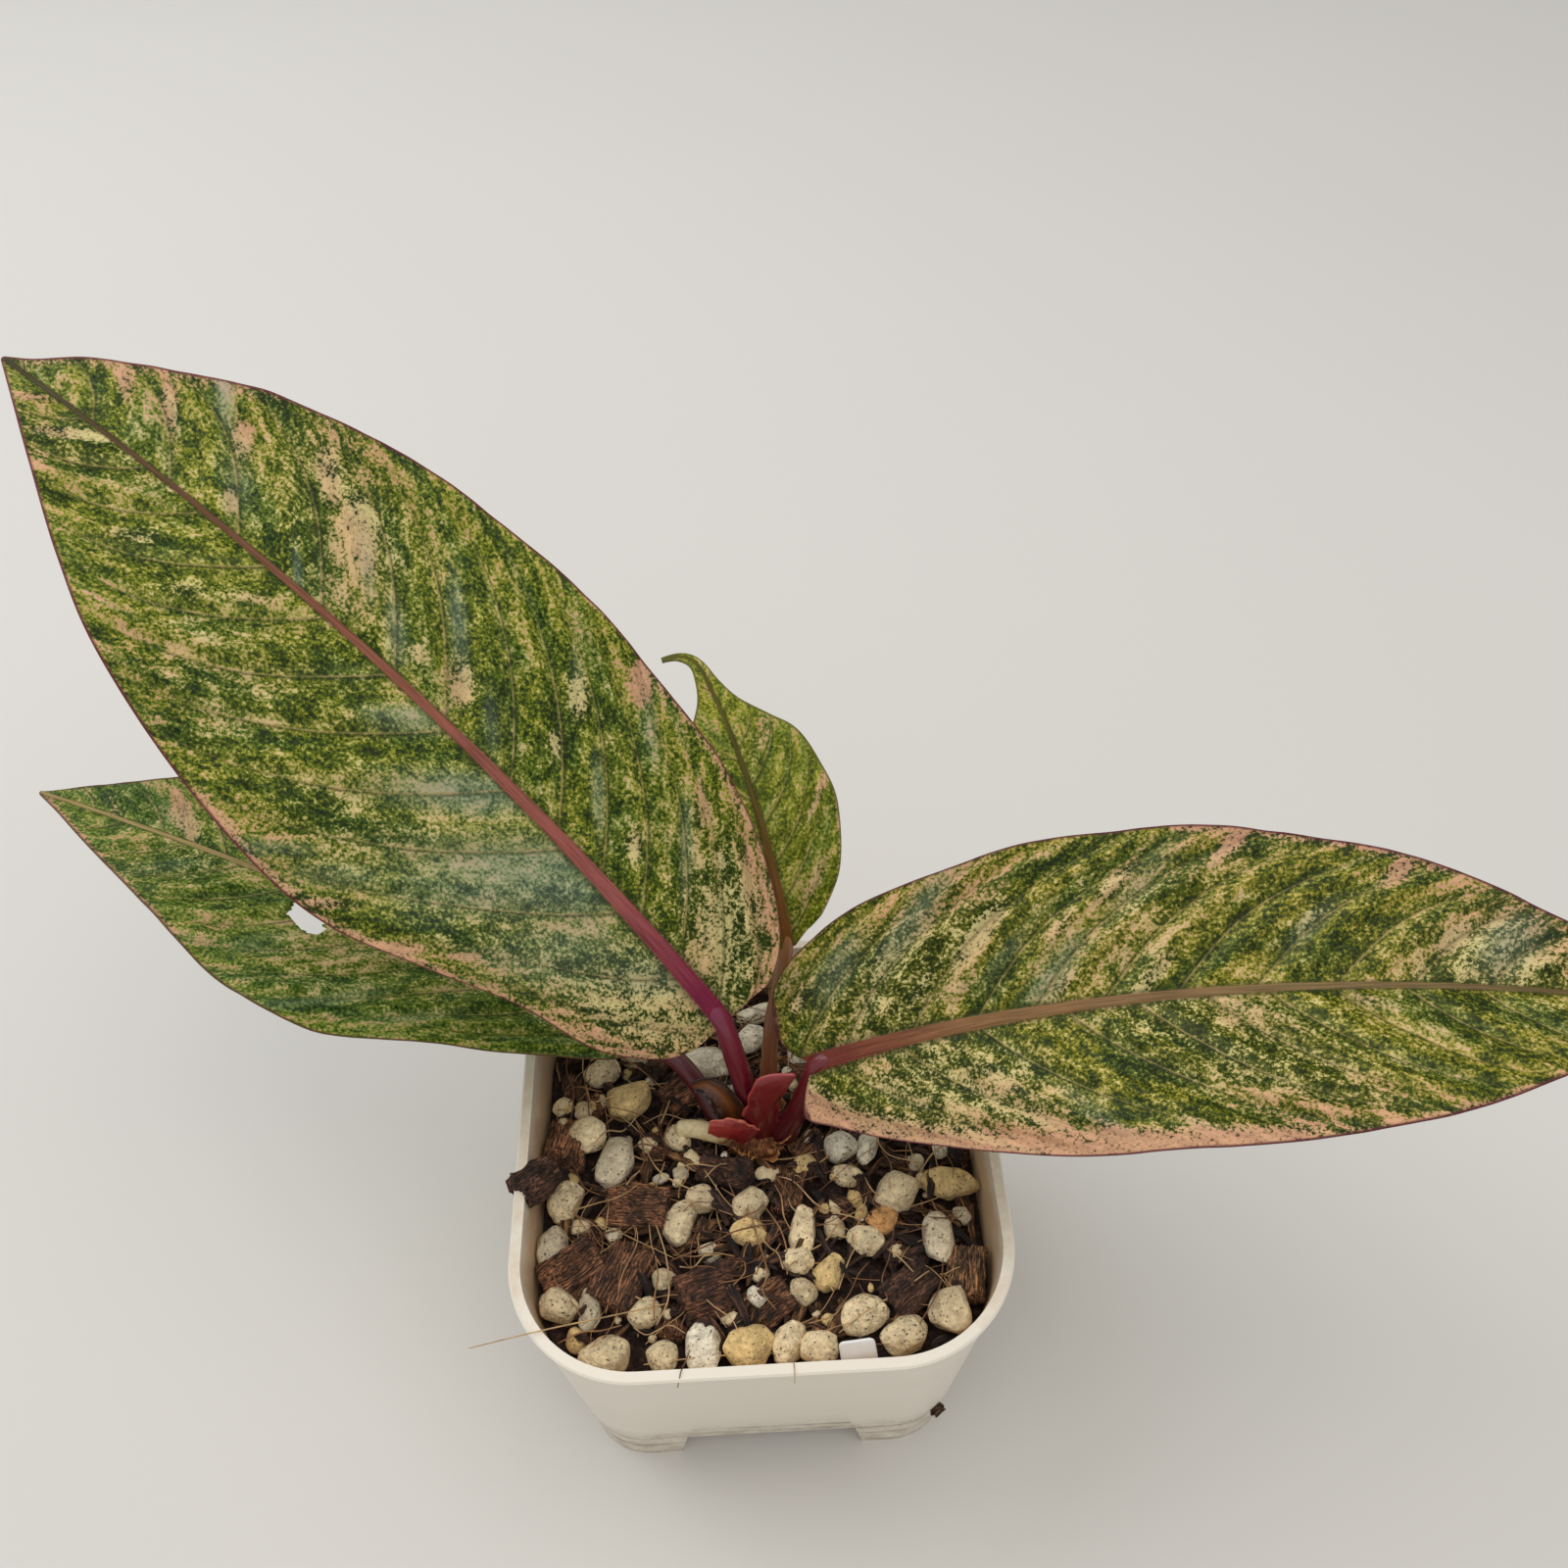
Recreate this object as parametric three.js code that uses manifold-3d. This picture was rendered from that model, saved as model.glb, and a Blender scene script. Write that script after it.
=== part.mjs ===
// Potted variegated anthurium: a square plastic pot, its potting mix, a short stem and four leaves.
// Millimetres, +Z up. The origin is the middle of the pot's underside, on the surface it stands on.
// -Y is the front of the pot and +X its right-hand side.
import * as THREE from 'three';
import { mergeVertices } from 'three/addons/utils/BufferGeometryUtils.js';
import Module from 'manifold-3d';

const wasm = await Module();
wasm.setup();

// Pot: a 10.5 cm square nursery pot. Its wall ends in a small step above a nearly upright foot. In the
// middle of each side a tapered recess runs up from the foot, over an arch that opens under the pot.
const POT_HEIGHT = 70;
const RIM_HALF = 52.5;
const RIM_CORNER = 27;
const RIM_BAND = 1.6;
const RIM_ROUND = 0.4;
const WALL_TOP_HALF = 51.6;
const WALL_TOP_CORNER = 26;
const WALL_FOOT_HALF = 43.7;
const WALL_FOOT_CORNER = 15;
const FOOT_HEIGHT = 15;
const FOOT_TOP_HALF = 43.2;
const FOOT_HALF = 42.4;
const FOOT_CORNER = 14.5;
const WALL = 1.5;
const FLOOR = 2;
const RECESS_WIDTH = 32.6;
const RECESS_FOOT_WIDTH = 42.4;
const RECESS_HEIGHT = 27;
const RECESS_DEPTH = 1.5;
const ARCH_HEIGHT = 8.5;
const ARCH_DEPTH = 11;
const SLOT_LENGTH = 14;
const SLOT_WIDTH = 4;
const DRAIN_RADIUS = 3;
const DRAIN_RING = 17;

// Pieces that touch keep this running gap.
const GAP = 0.3;

// Potting mix.
const MIX_LEVEL = 59;
const MIX_TOP_LIMIT = 69.4;
const MIX_SEED = 7;
const STONE_SIZE = [4.6, 8.6];
const STONE_SWELL = [1.02, 1.2];
const STONE_HEIGHT = 0.84;
const STONE_LIFT = 0.24;
const CHIP_SIZE = [7, 13];
const CHIP_THICKNESS = 4.5;
const CHIP_LIFT = 0.8;
const TILT = 0.32;
const FILLER_WIDTH = [0.65, 0.95];
const FILLER_SPACING = 0.42;
const FILLER_TRIES = 4000;
const EXTRA_STONES = 30;
const EXTRA_CHIPS = 16;
const STEM_CLEARING = 9;
const MIX_REACH = 46;

// Stones that stand out in the mix: place, length, width, and the turn of the long side in degrees.
const LARGE_STONES = [
  { x: -32, y: 0.5, long: 13, wide: 9, turn: 70 },
  { x: -33, y: -43, long: 10.5, wide: 8, turn: 5 },
  { x: -21, y: -43.5, long: 7, wide: 6.5, turn: 0 },
  { x: -13, y: -42.5, long: 10, wide: 7, turn: 100 },
  { x: -3.5, y: -43, long: 10.5, wide: 9, turn: 0 },
  { x: 4.5, y: -42.5, long: 9, wide: 6.5, turn: 60 },
  { x: 11, y: -43.5, long: 9, wide: 7, turn: 10 },
  { x: 20, y: -37.5, long: 11, wide: 7.5, turn: 5 },
  { x: 29, y: -42, long: 10.5, wide: 7.5, turn: 15 },
  { x: 38.5, y: -37.5, long: 11, wide: 9, turn: 80 },
  { x: 38, y: -22, long: 12, wide: 8, turn: 100 },
  { x: 30, y: -10.5, long: 10, wide: 9, turn: 20 },
  { x: 43, y: -9, long: 12, wide: 7, turn: -10 },
  { x: 26.5, y: -17, long: 7, wide: 6, turn: 0 },
  { x: 9, y: -18, long: 10.5, wide: 6.5, turn: 85 },
  { x: 7, y: -25, long: 7, wide: 6.5, turn: 0 },
  { x: -2.5, y: -18, long: 8.5, wide: 6, turn: -5 },
  { x: -2.5, y: -11.5, long: 8, wide: 7, turn: 40 },
  { x: -13, y: -9.5, long: 7, wide: 6, turn: 0 },
  { x: -17.5, y: -15.5, long: 11, wide: 7, turn: 75 },
  { x: 22, y: -21.5, long: 8, wide: 6.5, turn: -20 },
  { x: 14, y: -28, long: 8, wide: 6.5, turn: 50 },
  { x: -29.5, y: 16, long: 10.5, wide: 9, turn: 30 },
  { x: -35.5, y: 24, long: 9, wide: 7.5, turn: 0 },
  { x: -38.5, y: 8, long: 9.5, wide: 8.5, turn: 90 },
  { x: -42.5, y: -8.5, long: 9, wide: 7.5, turn: 60 },
  { x: -45, y: -19, long: 9, wide: 6.5, turn: 85 },
  { x: -43, y: -32, long: 8, wide: 7.5, turn: 0 },
  { x: -36.5, y: -33, long: 8.5, wide: 5.5, turn: 90 },
  { x: -25, y: -34.5, long: 7, wide: 6.5, turn: 0 },
  { x: 18.5, y: 1, long: 8, wide: 7.5, turn: 0 },
  { x: 24.5, y: 1.5, long: 9, wide: 5.5, turn: 80 },
];

// Coco chips that stand out in the mix, as the stones above.
const LARGE_CHIPS = [
  { x: -43, y: 3, long: 12, wide: 8, turn: 60 },
  { x: -27, y: -10.5, long: 14, wide: 10, turn: -10 },
  { x: -41.5, y: -24.5, long: 13, wide: 10, turn: 30 },
  { x: -30, y: -26.5, long: 14, wide: 10, turn: 65 },
  { x: -7.5, y: -3.5, long: 12, wide: 6, turn: -25 },
  { x: -12, y: -31, long: 12, wide: 10, turn: 20 },
  { x: 30.5, y: -32.5, long: 11, wide: 9, turn: 40 },
  { x: 43, y: -30, long: 11, wide: 8, turn: 80 },
  { x: -17, y: 17, long: 9, wide: 8, turn: 35 },
];

// Stem: a short upright stub whose foot and roots are in the mix.
const STEM = { x: -0.2, y: 7.2, radius: 7.4, foot: 37, waist: 45, shoulder: 62, top: 65, taper: 0.6 };
const ROOT_RADIUS = 1.6;
const ROOT_COUNT = 6;
const ROOT_REACH = 27;
const ROOT_DROP = 22;

// Petioles: the points of each one's middle line from the stem to its blade, and the radius at both ends.
const PETIOLES = {
  a: { points: [[-0.8, 7, 62], [-1.8, 8.2, 73], [-4, 10.6, 85], [-6.6, 13.5, 96]], radius: [2.9, 2.3] },
  b: { points: [[-7.4, 8.9, 61], [-10.6, 12, 66], [-16.9, 17.6, 73.2], [-27.4, 23, 79.3]], radius: [2.4, 2] },
  c: { points: [[2.2, 12.4, 61.5], [3.2, 15.5, 71], [4.5, 21.5, 82], [8.5, 31.8, 96.5]], radius: [2, 1.5] },
  d: { points: [[5.6, 6, 61], [8.8, 5.6, 69], [11.5, 6.6, 77.5], [13.9, 8.2, 84.8]], radius: [2.7, 2.2] },
};

// Blades. heading and climb point the midrib at its base, turn and droop are what they change by up to
// the tip, all in degrees. roll is the blade's bank at the base and the tip, fold is how far its left
// and right halves rise from flat. left and right are the outline, from the notch at the petiole to the
// tip: distance along the midrib and distance out from it.
// Each blade is a grid from its outline to its midrib, and column shares say how far out its columns lie.
// The inner ends of the first rows gather at the petiole, as the lobes reach back past it.
const BLADE_THICKNESS = 0.8;
const CAMBER = 0.0012;
const COLUMN_SHARES = [0.62, 0.26];
const LOBE_SHARE = 0.3;
const LOBE_BLEND = 0.12;
const BLADE_START = -1;
const RIB_SPREAD = 1.1;
const RIB_HEIGHT = { front: 0.55, back: 0.9 };
const RIPPLE_RATE = 30;
const RIPPLE_SHIFT = 2;
const MIDRIB_STEPS = 60;
const LEAVES = {
  a: {
    base: [-6.6, 13.5, 96], heading: 147, climb: 50.3, turn: -1, droop: 32, length: 197,
    roll: [22, 3.2], fold: [9, 15], rib: [2.3, 0.5], rows: 26, ripple: 0.9,
    left: [[-1.2, 2.5], [0, 9.5], [5, 16.5], [17, 24.5], [35, 29.5], [53, 37], [72, 44], [91, 45.5],
      [115, 42], [138, 35.5], [156, 26.5], [173, 16], [187, 7], [197, 0.5]],
    right: [[-1.2, 2.5], [-0.5, 8], [0.5, 14], [7, 21.5], [20, 28.5], [39, 34.5], [62, 37.5], [96, 38.5],
      [128, 34.5], [152, 28], [170, 19], [184, 11], [192, 4], [197, 0.5]],
  },
  b: {
    base: [-27.4, 23, 79.3], heading: 159.4, climb: 20, turn: -1.5, droop: 16.2, length: 148.5,
    roll: [-6.5, 1.8], fold: [14, 14], rib: [2, 0.45], rows: 20, ripple: 1.1,
    left: [[-1.5, 2.2], [-2, 7.5], [3, 13], [15, 19], [32, 26.5], [48, 33], [62, 36.5], [76, 34.5],
      [90, 29], [112, 18], [129, 10], [141, 4], [148.5, 0.5]],
    right: [[-1.5, 2.2], [-2, 7.5], [3, 13], [15, 20], [32, 27], [48, 32.5], [62, 35.5], [76, 34],
      [90, 29.5], [112, 19], [129, 10], [141, 4], [148.5, 0.5]],
  },
  c: {
    base: [8.5, 31.8, 96.5], heading: 102, climb: 56, turn: 13, droop: 48, length: 76,
    roll: [-6, -2], fold: [14, 14], rib: [1.5, 0.4], rows: 18, ripple: 0.5,
    tip: { from: 0.84, turn: 77, drop: 14 },
    left: [[-0.5, 1.7], [2.5, 5.5], [7, 11], [15, 16], [26, 18.5], [37, 17], [46, 13], [52, 8.5],
      [58, 4.5], [64, 2.6], [70, 1.6], [76, 0.5]],
    right: [[-0.5, 1.7], [2.5, 5], [6, 9.5], [14, 14.5], [26, 17.6], [37, 16.8], [45, 14], [50, 9.8],
      [56, 5], [62, 2.6], [69, 1.6], [76, 0.5]],
  },
  d: {
    base: [13.9, 8.2, 84.8], heading: -7.5, climb: 34.7, turn: 0.4, droop: 46.5, length: 184,
    roll: [-26.4, -1.4], fold: [21, 17], rib: [2.2, 0.5], rows: 26, ripple: 0.9,
    left: [[-4.5, 2.8], [-7, 7.5], [-6, 13.4], [-2.5, 19.5], [7, 25], [22, 30.5], [42, 33], [60, 34.7],
      [80, 33.8], [98, 31.5], [117, 27.5], [135, 21.5], [152, 14], [167, 7], [184, 0.5]],
    right: [[-2.2, 2.8], [-3.6, 7.5], [-3, 12], [4, 15.5], [14, 20], [26, 24.2], [44, 29.5], [64, 32.8],
      [90, 33.6], [112, 31.9], [128, 27.6], [144, 20.4], [158, 12.5], [171, 6], [184, 0.5]],
  },
};

// Bracts: points up the middle of each thin sheet, its half width at each, and how far its two long
// edges bend back from the middle.
const BRACT_THICKNESS = 0.8;
const BRACTS = {
  bract_front: {
    points: [[1.2, 2.6, 62], [1.2, 3.2, 69], [2, 4.2, 76], [3.6, 5, 82], [8, 5.6, 85.5]],
    half: [5.2, 4.1, 3.5, 3, 0.6], cup: [2.6, 1.5, 1, 0.5, 0.1], facing: [0.15, -1, -14.75],
  },
  bract_left: {
    points: [[-1.6, 1.8, 65.6], [-4.6, 1.9, 68.6], [-7.6, 1.9, 70], [-10.6, 2, 70.6]],
    half: [3.4, 3.2, 3, 1.8], cup: [0.6, 0.6, 0.5, 0.2], facing: [-0.1, -1, -14.7],
  },
  dry_sheath: {
    points: [[-4.2, 4.6, 64.6], [-5.6, 6.2, 71], [-7.8, 7.6, 76], [-10.8, 8.6, 78], [-13.6, 9, 77]],
    half: [2.6, 3.2, 3.4, 2.8, 1.4], cup: [0.6, 1, 1.2, 0.9, 0.4], facing: [0.1, -1, -14.5],
  },
};

const AERIAL_ROOT = {
  points: [[-5.6, 4.2, 61.6], [-9.6, 5, 63], [-14, 6, 63.6], [-18.6, 6.8, 62.6]], radius: [1.9, 2],
};

const LABEL = { x: 18, y: -45, width: 7.6, thickness: 0.8, length: 46, top: 66.3, lean: 8 };

const radians = THREE.MathUtils.degToRad;
const mix = THREE.MathUtils.lerp;
const vector = (xyz) => new THREE.Vector3(...xyz);

// Triangles and their joining

function solidOf(positions, faces) {
  const geometry = new THREE.BufferGeometry();
  const numbers = positions.flatMap((p) => [p.x, p.y, p.z]);
  geometry.setAttribute('position', new THREE.Float32BufferAttribute(numbers, 3));
  geometry.setIndex(faces.flat());
  return geometry;
}

function toManifold(geometry) {
  const bare = geometry.clone();
  bare.deleteAttribute('normal');
  bare.deleteAttribute('uv');
  const merged = mergeVertices(bare, 1e-5);
  const index = Uint32Array.from(merged.index.array);
  return new wasm.Manifold(new wasm.Mesh({
    numProp: 3,
    vertProperties: Float32Array.from(merged.attributes.position.array),
    triVerts: index,
  }));
}

function toGeometry(manifold) {
  const { vertProperties, triVerts } = manifold.getMesh();
  const geometry = new THREE.BufferGeometry();
  geometry.setAttribute('position', new THREE.Float32BufferAttribute(vertProperties, 3));
  geometry.setIndex([...triVerts]);
  return geometry;
}

const cut = (body, ...tools) => tools.reduce((left, tool) => left.subtract(tool), body);
const join = (body, ...others) => others.reduce((all, other) => all.add(other), body);

// Only the largest loose piece of a cut body is kept.
function largest(manifold) {
  const parts = manifold.decompose().sort((p, q) => q.volume() - p.volume());
  return parts[0];
}

// Closed bodies from rings of points: side walls between the rings and a fan on each end.
function loft(rings) {
  const count = rings[0].length;
  const positions = rings.flat();
  const faces = [];
  for (let level = 0; level < rings.length - 1; level += 1) {
    for (let k = 0; k < count; k += 1) {
      const a = level * count + k;
      const b = level * count + (k + 1) % count;
      faces.push([a, b, b + count], [a, b + count, a + count]);
    }
  }
  for (const [level, flip] of [[0, true], [rings.length - 1, false]]) {
    const middle = rings[level].reduce((sum, p) => sum.add(p), new THREE.Vector3()).divideScalar(count);
    positions.push(middle);
    for (let k = 0; k < count; k += 1) {
      const a = level * count + k;
      const b = level * count + (k + 1) % count;
      faces.push(flip ? [b, a, positions.length - 1] : [a, b, positions.length - 1]);
    }
  }
  return solidOf(positions, faces);
}

function roundedSquare(half, corner, z, steps = 5) {
  const ring = [];
  for (let quarter = 0; quarter < 4; quarter += 1) {
    const middle = Math.PI / 4 + quarter * Math.PI / 2;
    const x = Math.sign(Math.cos(middle)) * (half - corner);
    const y = Math.sign(Math.sin(middle)) * (half - corner);
    for (let k = 0; k <= steps; k += 1) {
      const angle = middle + (k / steps - 0.5) * Math.PI / 2;
      ring.push(new THREE.Vector3(x + corner * Math.cos(angle), y + corner * Math.sin(angle), z));
    }
  }
  return ring;
}

// A round stalk along a curve, with its radius changing evenly from one end to the other.
function stalk({ points, radius }, { grow = 0, sides = 10, steps = 9 } = {}) {
  const curve = new THREE.CatmullRomCurve3(points.map(vector), false, 'centripetal');
  const { normals, binormals } = curve.computeFrenetFrames(steps, false);
  const rings = [];
  for (let k = 0; k <= steps; k += 1) {
    const t = k / steps;
    const centre = curve.getPointAt(t);
    const tangent = curve.getTangentAt(t);
    if (k === 0) centre.addScaledVector(tangent, -grow);
    if (k === steps) centre.addScaledVector(tangent, grow);
    const r = mix(radius[0], radius[1], t) + grow;
    rings.push(Array.from({ length: sides }, (_, side) => {
      const angle = side / sides * 2 * Math.PI;
      return centre.clone()
        .addScaledVector(normals[k], r * Math.cos(angle))
        .addScaledVector(binormals[k], r * Math.sin(angle));
    }));
  }
  return toManifold(loft(rings));
}

// A thin sheet from a grid of front and back points, with the same diagonals on both faces.
function sheet(front, back) {
  const rows = front.length;
  const columns = front[0].length;
  const positions = [...front.flat(), ...back.flat()];
  const offset = rows * columns;
  const at = (i, j) => i * columns + j;
  const faces = [];
  for (let i = 0; i < rows - 1; i += 1) {
    for (let j = 0; j < columns - 1; j += 1) {
      const [a, b, c, d] = [at(i, j), at(i, j + 1), at(i + 1, j + 1), at(i + 1, j)];
      const pairs = j < (columns - 1) / 2 ? [[a, b, c], [a, c, d]] : [[a, b, d], [b, c, d]];
      for (const [p, q, r] of pairs) faces.push([p, q, r], [r + offset, q + offset, p + offset]);
    }
  }
  const edge = [];
  for (let j = 0; j < columns; j += 1) edge.push(at(0, j));
  for (let i = 1; i < rows; i += 1) edge.push(at(i, columns - 1));
  for (let j = columns - 2; j >= 0; j -= 1) edge.push(at(rows - 1, j));
  for (let i = rows - 2; i > 0; i -= 1) edge.push(at(i, 0));
  edge.forEach((a, k) => {
    const b = edge[(k + 1) % edge.length];
    faces.push([b, a, a + offset], [b, a + offset, b + offset]);
  });
  return solidOf(positions, faces);
}

// A leaf blade

function bladeFrame({ base, heading, climb, turn, droop, length, roll, tip }) {
  const direction = (t) => {
    const late = tip ? THREE.MathUtils.smoothstep(t, tip.from, 1) : 0;
    const around = radians(heading + turn * t + (tip ? tip.turn * late : 0));
    const up = radians(climb - droop * t - (tip ? tip.drop * late : 0));
    const flat = Math.cos(up);
    return new THREE.Vector3(Math.cos(around) * flat, Math.sin(around) * flat, Math.sin(up));
  };
  const midrib = [vector(base)];
  for (let k = 0; k < MIDRIB_STEPS; k += 1) {
    midrib.push(midrib[k].clone()
      .addScaledVector(direction((k + 0.5) / MIDRIB_STEPS), length / MIDRIB_STEPS));
  }
  return (x) => {
    const t = THREE.MathUtils.clamp(x / length, 0, 1);
    const k = Math.min(Math.floor(t * MIDRIB_STEPS), MIDRIB_STEPS - 1);
    const along = direction(t);
    const origin = midrib[k].clone().lerp(midrib[k + 1], t * MIDRIB_STEPS - k);
    origin.addScaledVector(along, x - t * length);
    const level = new THREE.Vector3(0, 0, 1).cross(along).normalize();
    const bank = radians(mix(roll[0], roll[1], t));
    const left = level.clone().multiplyScalar(Math.cos(bank))
      .addScaledVector(along.clone().cross(level), -Math.sin(bank));
    return { origin, left, up: along.clone().cross(left) };
  };
}

// The blade's midrib stands out on both faces, and its long edges ripple a little.
function blade(leaf) {
  const frameAt = bladeFrame(leaf);
  const outline = (side) => new THREE.SplineCurve(side.map(([x, y]) => new THREE.Vector2(x, y)));
  const edges = { left: outline(leaf.left), right: outline(leaf.right) };
  const widest = Math.max(...leaf.left.map(([, y]) => y));
  const soften = (u) => (u - LOBE_SHARE + Math.hypot(u - LOBE_SHARE, LOBE_BLEND)) / 2;
  const [first, last] = [soften(0), soften(1)];
  const point = (x, y, face) => {
    const { origin, left, up } = frameAt(x);
    const out = Math.abs(y);
    const fold = radians(leaf.fold[y > 0 ? 0 : 1]);
    const phase = x / leaf.length * RIPPLE_RATE + (y > 0 ? 0 : RIPPLE_SHIFT);
    const ripple = leaf.ripple * (out / widest) ** 2 * Math.sin(phase);
    const ribHalf = mix(leaf.rib[0], leaf.rib[1], THREE.MathUtils.clamp(x / leaf.length, 0, 1));
    const ribShape = Math.max(0, 1 - (out / (RIB_SPREAD * ribHalf)) ** 2);
    const ridge = (face > 0 ? RIB_HEIGHT.front : RIB_HEIGHT.back) * ribHalf * ribShape;
    const lift = face * (BLADE_THICKNESS / 2 + ridge);
    return origin
      .addScaledVector(left, y * Math.cos(fold))
      .addScaledVector(up, out * Math.sin(fold) - CAMBER * out * out + ripple + lift);
  };
  const front = [];
  const back = [];
  for (let row = 0; row <= leaf.rows; row += 1) {
    const u = row / leaf.rows;
    const onMidrib = mix(BLADE_START, leaf.length, (soften(u) - first) / (last - first));
    const ribHalf = mix(leaf.rib[0], leaf.rib[1], Math.max(0, onMidrib) / leaf.length);
    const line = [];
    for (const [side, sign] of [['left', 1], ['right', -1]]) {
      const end = edges[side].getPointAt(u);
      const outer = Math.min(RIB_SPREAD * ribHalf / end.y, 0.5);
      const shares = [1, ...COLUMN_SHARES.map((share) => mix(outer, 1, share)), outer, outer / 2];
      const half = shares.map((s) => [mix(onMidrib, end.x, s), sign * end.y * s]);
      line.push(...(sign > 0 ? [...half, [onMidrib, 0]] : half.reverse()));
    }
    front.push(line.map(([x, y]) => point(x, y, 1)));
    back.push(line.map(([x, y]) => point(x, y, -1)));
  }
  return toManifold(sheet(front, back));
}

// A bract: a thin sheet that follows its middle line, cupped towards the stem.
function bract({ points, half, cup, facing }, grow = 0) {
  const curve = new THREE.CatmullRomCurve3(points.map(vector), false, 'centripetal');
  const rows = 8;
  const outward = vector(facing).normalize();
  const valueAt = (list, t) => {
    const place = t * (list.length - 1);
    const k = Math.min(Math.floor(place), list.length - 2);
    return mix(list[k], list[k + 1], place - k);
  };
  const front = [];
  const back = [];
  for (let row = 0; row <= rows; row += 1) {
    const t = row / rows;
    const tangent = curve.getTangent(t);
    const centre = curve.getPoint(t);
    if (row === 0) centre.addScaledVector(tangent, -grow);
    if (row === rows) centre.addScaledVector(tangent, grow);
    const across = tangent.clone().cross(outward).normalize();
    const normal = across.clone().cross(tangent).normalize();
    const width = valueAt(half, t) + grow;
    const lineOf = (lift) => [-1, -0.5, 0, 0.5, 1].map((s) => centre.clone()
      .addScaledVector(across, s * width)
      .addScaledVector(normal, lift - valueAt(cup, t) * s * s));
    front.push(lineOf(BRACT_THICKNESS / 2 + grow));
    back.push(lineOf(-BRACT_THICKNESS / 2 - grow));
  }
  return toManifold(sheet(front, back));
}

// Pot

const upTheWall = (z) => (z - FOOT_HEIGHT) / (POT_HEIGHT - FOOT_HEIGHT);
const wallHalfAt = (z) => mix(WALL_FOOT_HALF, WALL_TOP_HALF, upTheWall(z));
const wallCornerAt = (z) => mix(WALL_FOOT_CORNER, WALL_TOP_CORNER, upTheWall(z));

// Rings of the pot's hollow, from its floor up to a given height.
function hollow(low, high, shrink = 0) {
  const inset = WALL + shrink;
  return toManifold(loft([
    roundedSquare(FOOT_HALF - inset, FOOT_CORNER - inset, low),
    roundedSquare(FOOT_TOP_HALF - inset, FOOT_CORNER - inset, FOOT_HEIGHT),
    roundedSquare(wallHalfAt(high) - inset, wallCornerAt(high) - inset, high),
  ]));
}

// A block that opens one side at the foot: wider at the bottom, up to a height and in to a depth.
function footBlock(height, depth, grow) {
  const halfAt = (z) => mix(RECESS_FOOT_WIDTH, RECESS_WIDTH, z / RECESS_HEIGHT) / 2 + grow;
  const [bottom, top] = [-1, height + grow];
  const outline = new THREE.Shape([
    [-halfAt(bottom), bottom], [halfAt(bottom), bottom], [halfAt(top), top], [-halfAt(top), top],
  ].map(([x, z]) => new THREE.Vector2(x, z)));
  const block = new THREE.ExtrudeGeometry(outline, { depth: POT_HEIGHT, bevelEnabled: false });
  block.rotateX(Math.PI / 2);
  return block.translate(0, -(FOOT_HALF - depth) + grow, 0);
}

// The recess leans with the wall.
function sideOpenings(grow) {
  const lean = Math.atan((WALL_TOP_HALF - WALL_FOOT_HALF) / (POT_HEIGHT - FOOT_HEIGHT));
  return [0, 90, 180, 270].flatMap((turn) => {
    const recess = footBlock(RECESS_HEIGHT, RECESS_DEPTH, grow);
    recess.translate(0, FOOT_HALF, 0).rotateX(lean).translate(0, -FOOT_HALF, 0);
    return [recess, footBlock(ARCH_HEIGHT, ARCH_DEPTH, grow)]
      .map((block) => toManifold(block.rotateZ(radians(turn))));
  });
}

function drains() {
  const slotShape = new THREE.Shape();
  const straight = (SLOT_LENGTH - SLOT_WIDTH) / 2;
  slotShape.absarc(straight, 0, SLOT_WIDTH / 2, -Math.PI / 2, Math.PI / 2);
  slotShape.absarc(-straight, 0, SLOT_WIDTH / 2, Math.PI / 2, 3 * Math.PI / 2);
  const middle = FOOT_HALF - ARCH_DEPTH / 2 - WALL;
  return [0, 90, 180, 270].flatMap((turn) => {
    const slot = new THREE.ExtrudeGeometry(slotShape, {
      depth: 4 * WALL, bevelEnabled: false, curveSegments: 3,
    });
    slot.translate(0, -middle, ARCH_HEIGHT - WALL);
    const hole = new THREE.CylinderGeometry(DRAIN_RADIUS, DRAIN_RADIUS, 3 * FLOOR, 12);
    hole.rotateX(Math.PI / 2);
    hole.translate(0, -DRAIN_RING, FLOOR / 2);
    return [slot.rotateZ(radians(turn)), hole.rotateZ(radians(turn + 45))].map(toManifold);
  });
}

function pot() {
  const bandFoot = POT_HEIGHT - RIM_BAND;
  const outside = toManifold(loft([
    roundedSquare(FOOT_HALF, FOOT_CORNER, 0),
    roundedSquare(FOOT_TOP_HALF, FOOT_CORNER, FOOT_HEIGHT),
    roundedSquare(WALL_FOOT_HALF, WALL_FOOT_CORNER, FOOT_HEIGHT + RIM_ROUND),
    roundedSquare(wallHalfAt(bandFoot), wallCornerAt(bandFoot), bandFoot),
    roundedSquare(RIM_HALF - RIM_ROUND, RIM_CORNER - RIM_ROUND, bandFoot + RIM_ROUND),
    roundedSquare(RIM_HALF, RIM_CORNER, POT_HEIGHT - RIM_ROUND),
    roundedSquare(RIM_HALF - RIM_ROUND, RIM_CORNER - RIM_ROUND, POT_HEIGHT),
  ]));
  const inside = cut(hollow(FLOOR, POT_HEIGHT + 5), ...sideOpenings(WALL));
  return cut(outside, inside, ...sideOpenings(0), ...drains());
}

// Potting mix

function seededDraw(seed) {
  let state = seed;
  return (low = 0, high = 1) => {
    state = (state * 1664525 + 1013904223) % 4294967296;
    return mix(low, high, state / 4294967296);
  };
}

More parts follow.
